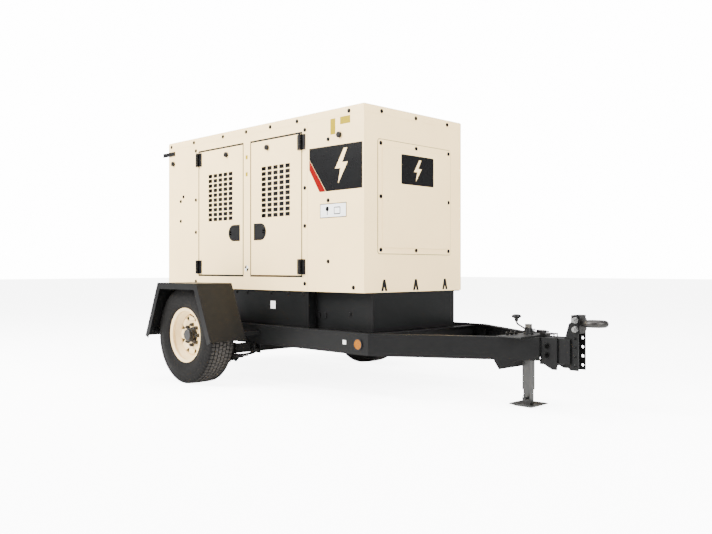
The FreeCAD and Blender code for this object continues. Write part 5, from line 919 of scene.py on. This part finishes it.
def build_drain_flap(k):
    """Rubber flap, an upside-down V, over one drain slot at the foot of the front wall."""
    pitch, half, crown, slit, rise = 0.356, 0.033, 0.011, 0.010, 0.086
    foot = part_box("front_housing")[0].z + 0.010
    y = (k - 1) * pitch
    outline = [(y - half, foot), (y - crown, foot + rise), (y + crown, foot + rise), (y + half, foot),
               (y + slit, foot), (y, foot + 0.040), (y - slit, foot)]
    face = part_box("front_cover")[0].x - CLEAR
    return flat_label("drain_flap_%d" % k, rounded_polygon(outline, 0.005), face, "x", 1, CLEAR, 0.0018)


def islands(mesh):
    """Low and high corners of each loose part of a mesh."""
    bm = bmesh.new()
    bm.from_mesh(mesh)
    bmesh.ops.remove_doubles(bm, verts=bm.verts, dist=0.00005)
    seen, boxes = set(), []
    for start in bm.verts:
        if start in seen:
            continue
        stack, points = [start], []
        seen.add(start)
        while stack:
            v = stack.pop()
            points.append(v.co.copy())
            near = {edge.other_vert(v) for edge in v.link_edges} - seen
            seen |= near
            stack += near
        boxes.append(tuple(Vector([pick(p[i] for p in points) for i in range(3)]) for pick in (min, max)))
    bm.free()
    return boxes


def build_screw_caps():
    """Black push-on caps with a thin skirt over every housing screw."""
    screws = next(o for o in bpy.data.objects if o.name.startswith("panel_screws")).data
    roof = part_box("roof")
    middle = 0.5 * (roof[0].x + roof[1].x)
    rings = ((0.0155, 0.0003), (0.0155, 0.0030), (0.0130, 0.0055), (0.0080, 0.0066))
    vertices, faces = [], []
    for low, high in islands(screws):
        centre = (low + high) / 2
        axis = 0 if high.x - low.x < high.y - low.y else 1
        outward = 1 if centre[axis] > (middle if axis == 0 else 0) else -1
        foot = low[axis] if outward > 0 else high[axis]

        def place(across, up, height):
            point = [centre.x, centre.y, centre.z + up]
            point[1 - axis] += across
            point[axis] = foot + outward * height
            return tuple(point)

        points, quads = turned(rings, 20, place)
        faces += [tuple(len(vertices) + i for i in face) for face in quads]
        vertices += points
    return mesh_object("housing_screw_caps", vertices, faces)


# ---- fan belt
def build_belt():
    """V-belt round the crank and fan pulleys."""
    crank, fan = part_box("crank_train"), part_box("cooling_fan")
    x = crank[1].x - 0.0155
    z0, z1 = (crank[0].z + crank[1].z) / 2, (fan[0].z + fan[1].z) / 2
    r0, r1, steps = 0.0685, 0.0565, 32
    lean = math.asin((r0 - r1) / (z1 - z0))
    loop = []
    for r, z, start, turn in ((r0, z0, math.pi - lean, math.pi + 2 * lean), (r1, z1, lean, math.pi - 2 * lean)):
        for a in (start + turn * k / steps for k in range(steps + 1)):
            loop.append((r * math.cos(a), z + r * math.sin(a), math.cos(a), math.sin(a)))
    section = ((0.0, -0.0035), (0.0, 0.0035), (0.0095, 0.0062), (0.0105, 0.0055), (0.0105, -0.0055),
               (0.0095, -0.0062))
    return swept("fan_belt", loop, section, lambda y, z, across: (x + across, y, z))


# ---- operators
class PaintNodes(bpy.types.Operator):
    """Build the shared effects and give every part its finish"""
    bl_idname = "generator.paint_nodes"
    bl_label = "Paint parts"

    def execute(self, context):
        for build in (group_coat_texture, group_edge_wear, group_road_dust, group_box_mask, group_cast_skin):
            build()
        for finish, names in make_finishes():
            for mesh in (frame["nodes"][name].data for name in names):
                mesh.materials.clear()
                mesh.materials.append(finish)
                for polygon in mesh.polygons:
                    polygon.material_index = 0
        return {"FINISHED"}


class AddTyres(bpy.types.Operator):
    """Put treaded tyres and valve stems on the wheels"""
    bl_idname = "generator.add_tyres"
    bl_label = "Tyres"

    def execute(self, context):
        rubber = tyre_rubber()
        for side in SIDES:
            tyre = put(build_tyre(side), "wheel_" + side, rubber)
            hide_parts("tyre_" + side)
            put(build_valve(side), "wheel_" + side, rubber)
        return {"FINISHED"}


class AddDoorSeals(bpy.types.Operator):
    """Put black trim, which also paints the shade in the door gaps, and bulb seals in the door openings"""
    bl_idname = "generator.add_door_seals"
    bl_label = "Door seals"

    def execute(self, context):
        rubber = sealing_rubber()
        for door in DOORS:
            put(build_door_trim_and_gap_shade(*door), "trailer", rubber)
        return {"FINISHED"}


class AddLinings(bpy.types.Operator):
    """Line the doors with foam and put hoods behind their vents"""
    bl_idname = "generator.add_linings"
    bl_label = "Door linings"

    def execute(self, context):
        foam = acoustic_foam()
        hood_paint = moulded("hood_paint", (0.012, 0.012, 0.013), 0.6)
        for door in DOORS:
            lining, hood = build_lining(*door)
            put(lining, "door_%s_%s" % door, foam)
            put(hood, "door_%s_%s" % door, hood_paint)
        return {"FINISHED"}


class AddLabels(bpy.types.Operator):
    """Put plain labels and plates on the housing"""
    bl_idname = "generator.add_labels"
    bl_label = "Labels"

    def execute(self, context):
        trim = context.scene.generator_trim
        build_labels({
            "field": label_film("label_field", (0.0035, 0.0035, 0.0037)),
            "stripe": label_film("label_stripe", tuple(trim.red)),
            "sand": label_film("label_spark", tuple(context.scene.generator_paint.sand)),
            "white": label_film("label_white", (0.82, 0.82, 0.80)),
            "yellow": label_film("label_yellow", tuple(trim.yellow)),
        })
        return {"FINISHED"}


class AddFrontTrim(bpy.types.Operator):
    """Put on the service cover's gasket, which also paints the shadow line round the cover, the flaps over the
    drain slots and the screw caps
    """
    bl_idname = "generator.add_front_trim"
    bl_label = "Front wall trim and screw caps"

    def execute(self, context):
        rubber = bpy.data.materials["seal_rubber"]
        put(build_cover_seal_and_shade_line(), "trailer", rubber)
        for k in range(3):
            put(build_drain_flap(k), "trailer", rubber)
        put(build_screw_caps(), "trailer", bpy.data.materials["screw_caps"])
        return {"FINISHED"}


class AddBelt(bpy.types.Operator):
    """Put the fan belt on its pulleys"""
    bl_idname = "generator.add_belt"
    bl_label = "Fan belt"

    def execute(self, context):
        put(build_belt(), "trailer", bpy.data.materials["seal_rubber"])
        return {"FINISHED"}


def area_light(name, place, target, size, power):
    """White oblong light that faces a target."""
    data = bpy.data.lights.new(name, "AREA")
    data.shape = "RECTANGLE"
    data.size, data.size_y = size
    data.energy = power
    obj = linked(name, data)
    obj.location = place
    obj.rotation_euler = (Vector(target) - Vector(place)).to_track_quat("-Z", "Y").to_euler()


def studio_floor(white):
    """Large pale floor that looks white to the camera and lights nothing."""
    half = 60
    floor = mesh_object("studio_floor", [(-half, -half, 0), (half, -half, 0), (half, half, 0), (-half, half, 0)],
                        [(0, 1, 2, 3)])
    mat, t, shader = new_material("studio_floor", Roughness=0.9, Specular_IOR_Level=0.2, Emission_Strength=1.0)
    seen = add_node(t, "ShaderNodeLightPath", {}).outputs["Is Camera Ray"]
    glow = times(t, seen, white)
    feed(shader, Base_Color=blend(t, noise(t, 2.0), (0.93, 0.93, 0.93), (0.95, 0.95, 0.95)),
         Emission_Color=add_node(t, "ShaderNodeCombineColor", {0: glow, 1: glow, 2: glow}).outputs[0])
    floor.data.materials.append(mat)


def white_room(sky, backdrop):
    """White world, brighter to the camera than to the object."""
    world = bpy.data.worlds.new("white_room")
    world.use_nodes = True
    tree = world.node_tree
    direct = add_node(tree, "ShaderNodeLightPath", {}).outputs["Is Camera Ray"]
    background = tree.nodes["Background"]
    background.inputs[0].default_value = (1, 1, 1, 1)
    tree.links.new(scaled(tree, direct, backdrop - sky, sky), background.inputs[1])
    bpy.context.scene.world = world


class BuildStudio(bpy.types.Operator):
    """Set the pale floor, the soft lights and the camera"""
    bl_idname = "generator.build_studio"
    bl_label = "Studio"

    def execute(self, context):
        s = context.scene.generator_studio
        studio_floor(s.backdrop * 0.45)
        white_room(s.sky, s.backdrop)
        area_light("key_light", (-3.5, -6.5, 6.0), (-0.2, -0.3, 1.1), (5.0, 4.0), s.key)
        area_light("front_light", (7.0, -1.0, 4.0), (0.3, 0.0, 1.2), (4.0, 3.0), s.key * 0.35)
        area_light("top_light", (0.0, 0.0, 7.0), (0.0, 0.0, 1.0), (6.0, 4.0), s.key * 0.4)
        camera = bpy.data.cameras.new("studio_camera")
        camera.lens = s.lens
        camera.sensor_fit = "HORIZONTAL"
        camera.sensor_width = 36.0
        camera.clip_end = 200.0
        obj = linked("studio_camera", camera)
        obj.location = (4.4489, -4.5063, 0.9352)
        obj.rotation_euler = Vector((-0.7089, 0.7053, 0.00105)).to_track_quat("-Z", "Y").to_euler()
        context.scene.camera = obj
        return {"FINISHED"}


OPERATORS = (PaintNodes, AddTyres, AddDoorSeals, AddLinings, AddLabels, AddFrontTrim, AddBelt, BuildStudio)


class GeneratorPanel(bpy.types.Panel):
    """Buttons for each group of pieces"""
    bl_idname = "VIEW3D_PT_generator"
    bl_label = "Generator"
    bl_space_type = "VIEW_3D"
    bl_region_type = "UI"
    bl_category = "Generator"

    def draw(self, context):
        for operator in OPERATORS:
            self.layout.operator(operator.bl_idname)


SETTINGS = {"generator_paint": PaintSettings, "generator_tyre": TyreSettings, "generator_trim": TrimSettings,
            "generator_studio": StudioSettings}


def register():
    for cls in (*SETTINGS.values(), *OPERATORS, GeneratorPanel):
        bpy.utils.register_class(cls)
    for name, cls in SETTINGS.items():
        setattr(bpy.types.Scene, name, bpy.props.PointerProperty(type=cls))


def unregister():
    for name in SETTINGS:
        delattr(bpy.types.Scene, name)
    for cls in (GeneratorPanel, *reversed(OPERATORS), *reversed(list(SETTINGS.values()))):
        bpy.utils.unregister_class(cls)


def main():
    register()
    for operator in OPERATORS:
        group, name = operator.bl_idname.split(".")
        getattr(getattr(bpy.ops, group), name)()


if __name__ == "__main__":
    main()
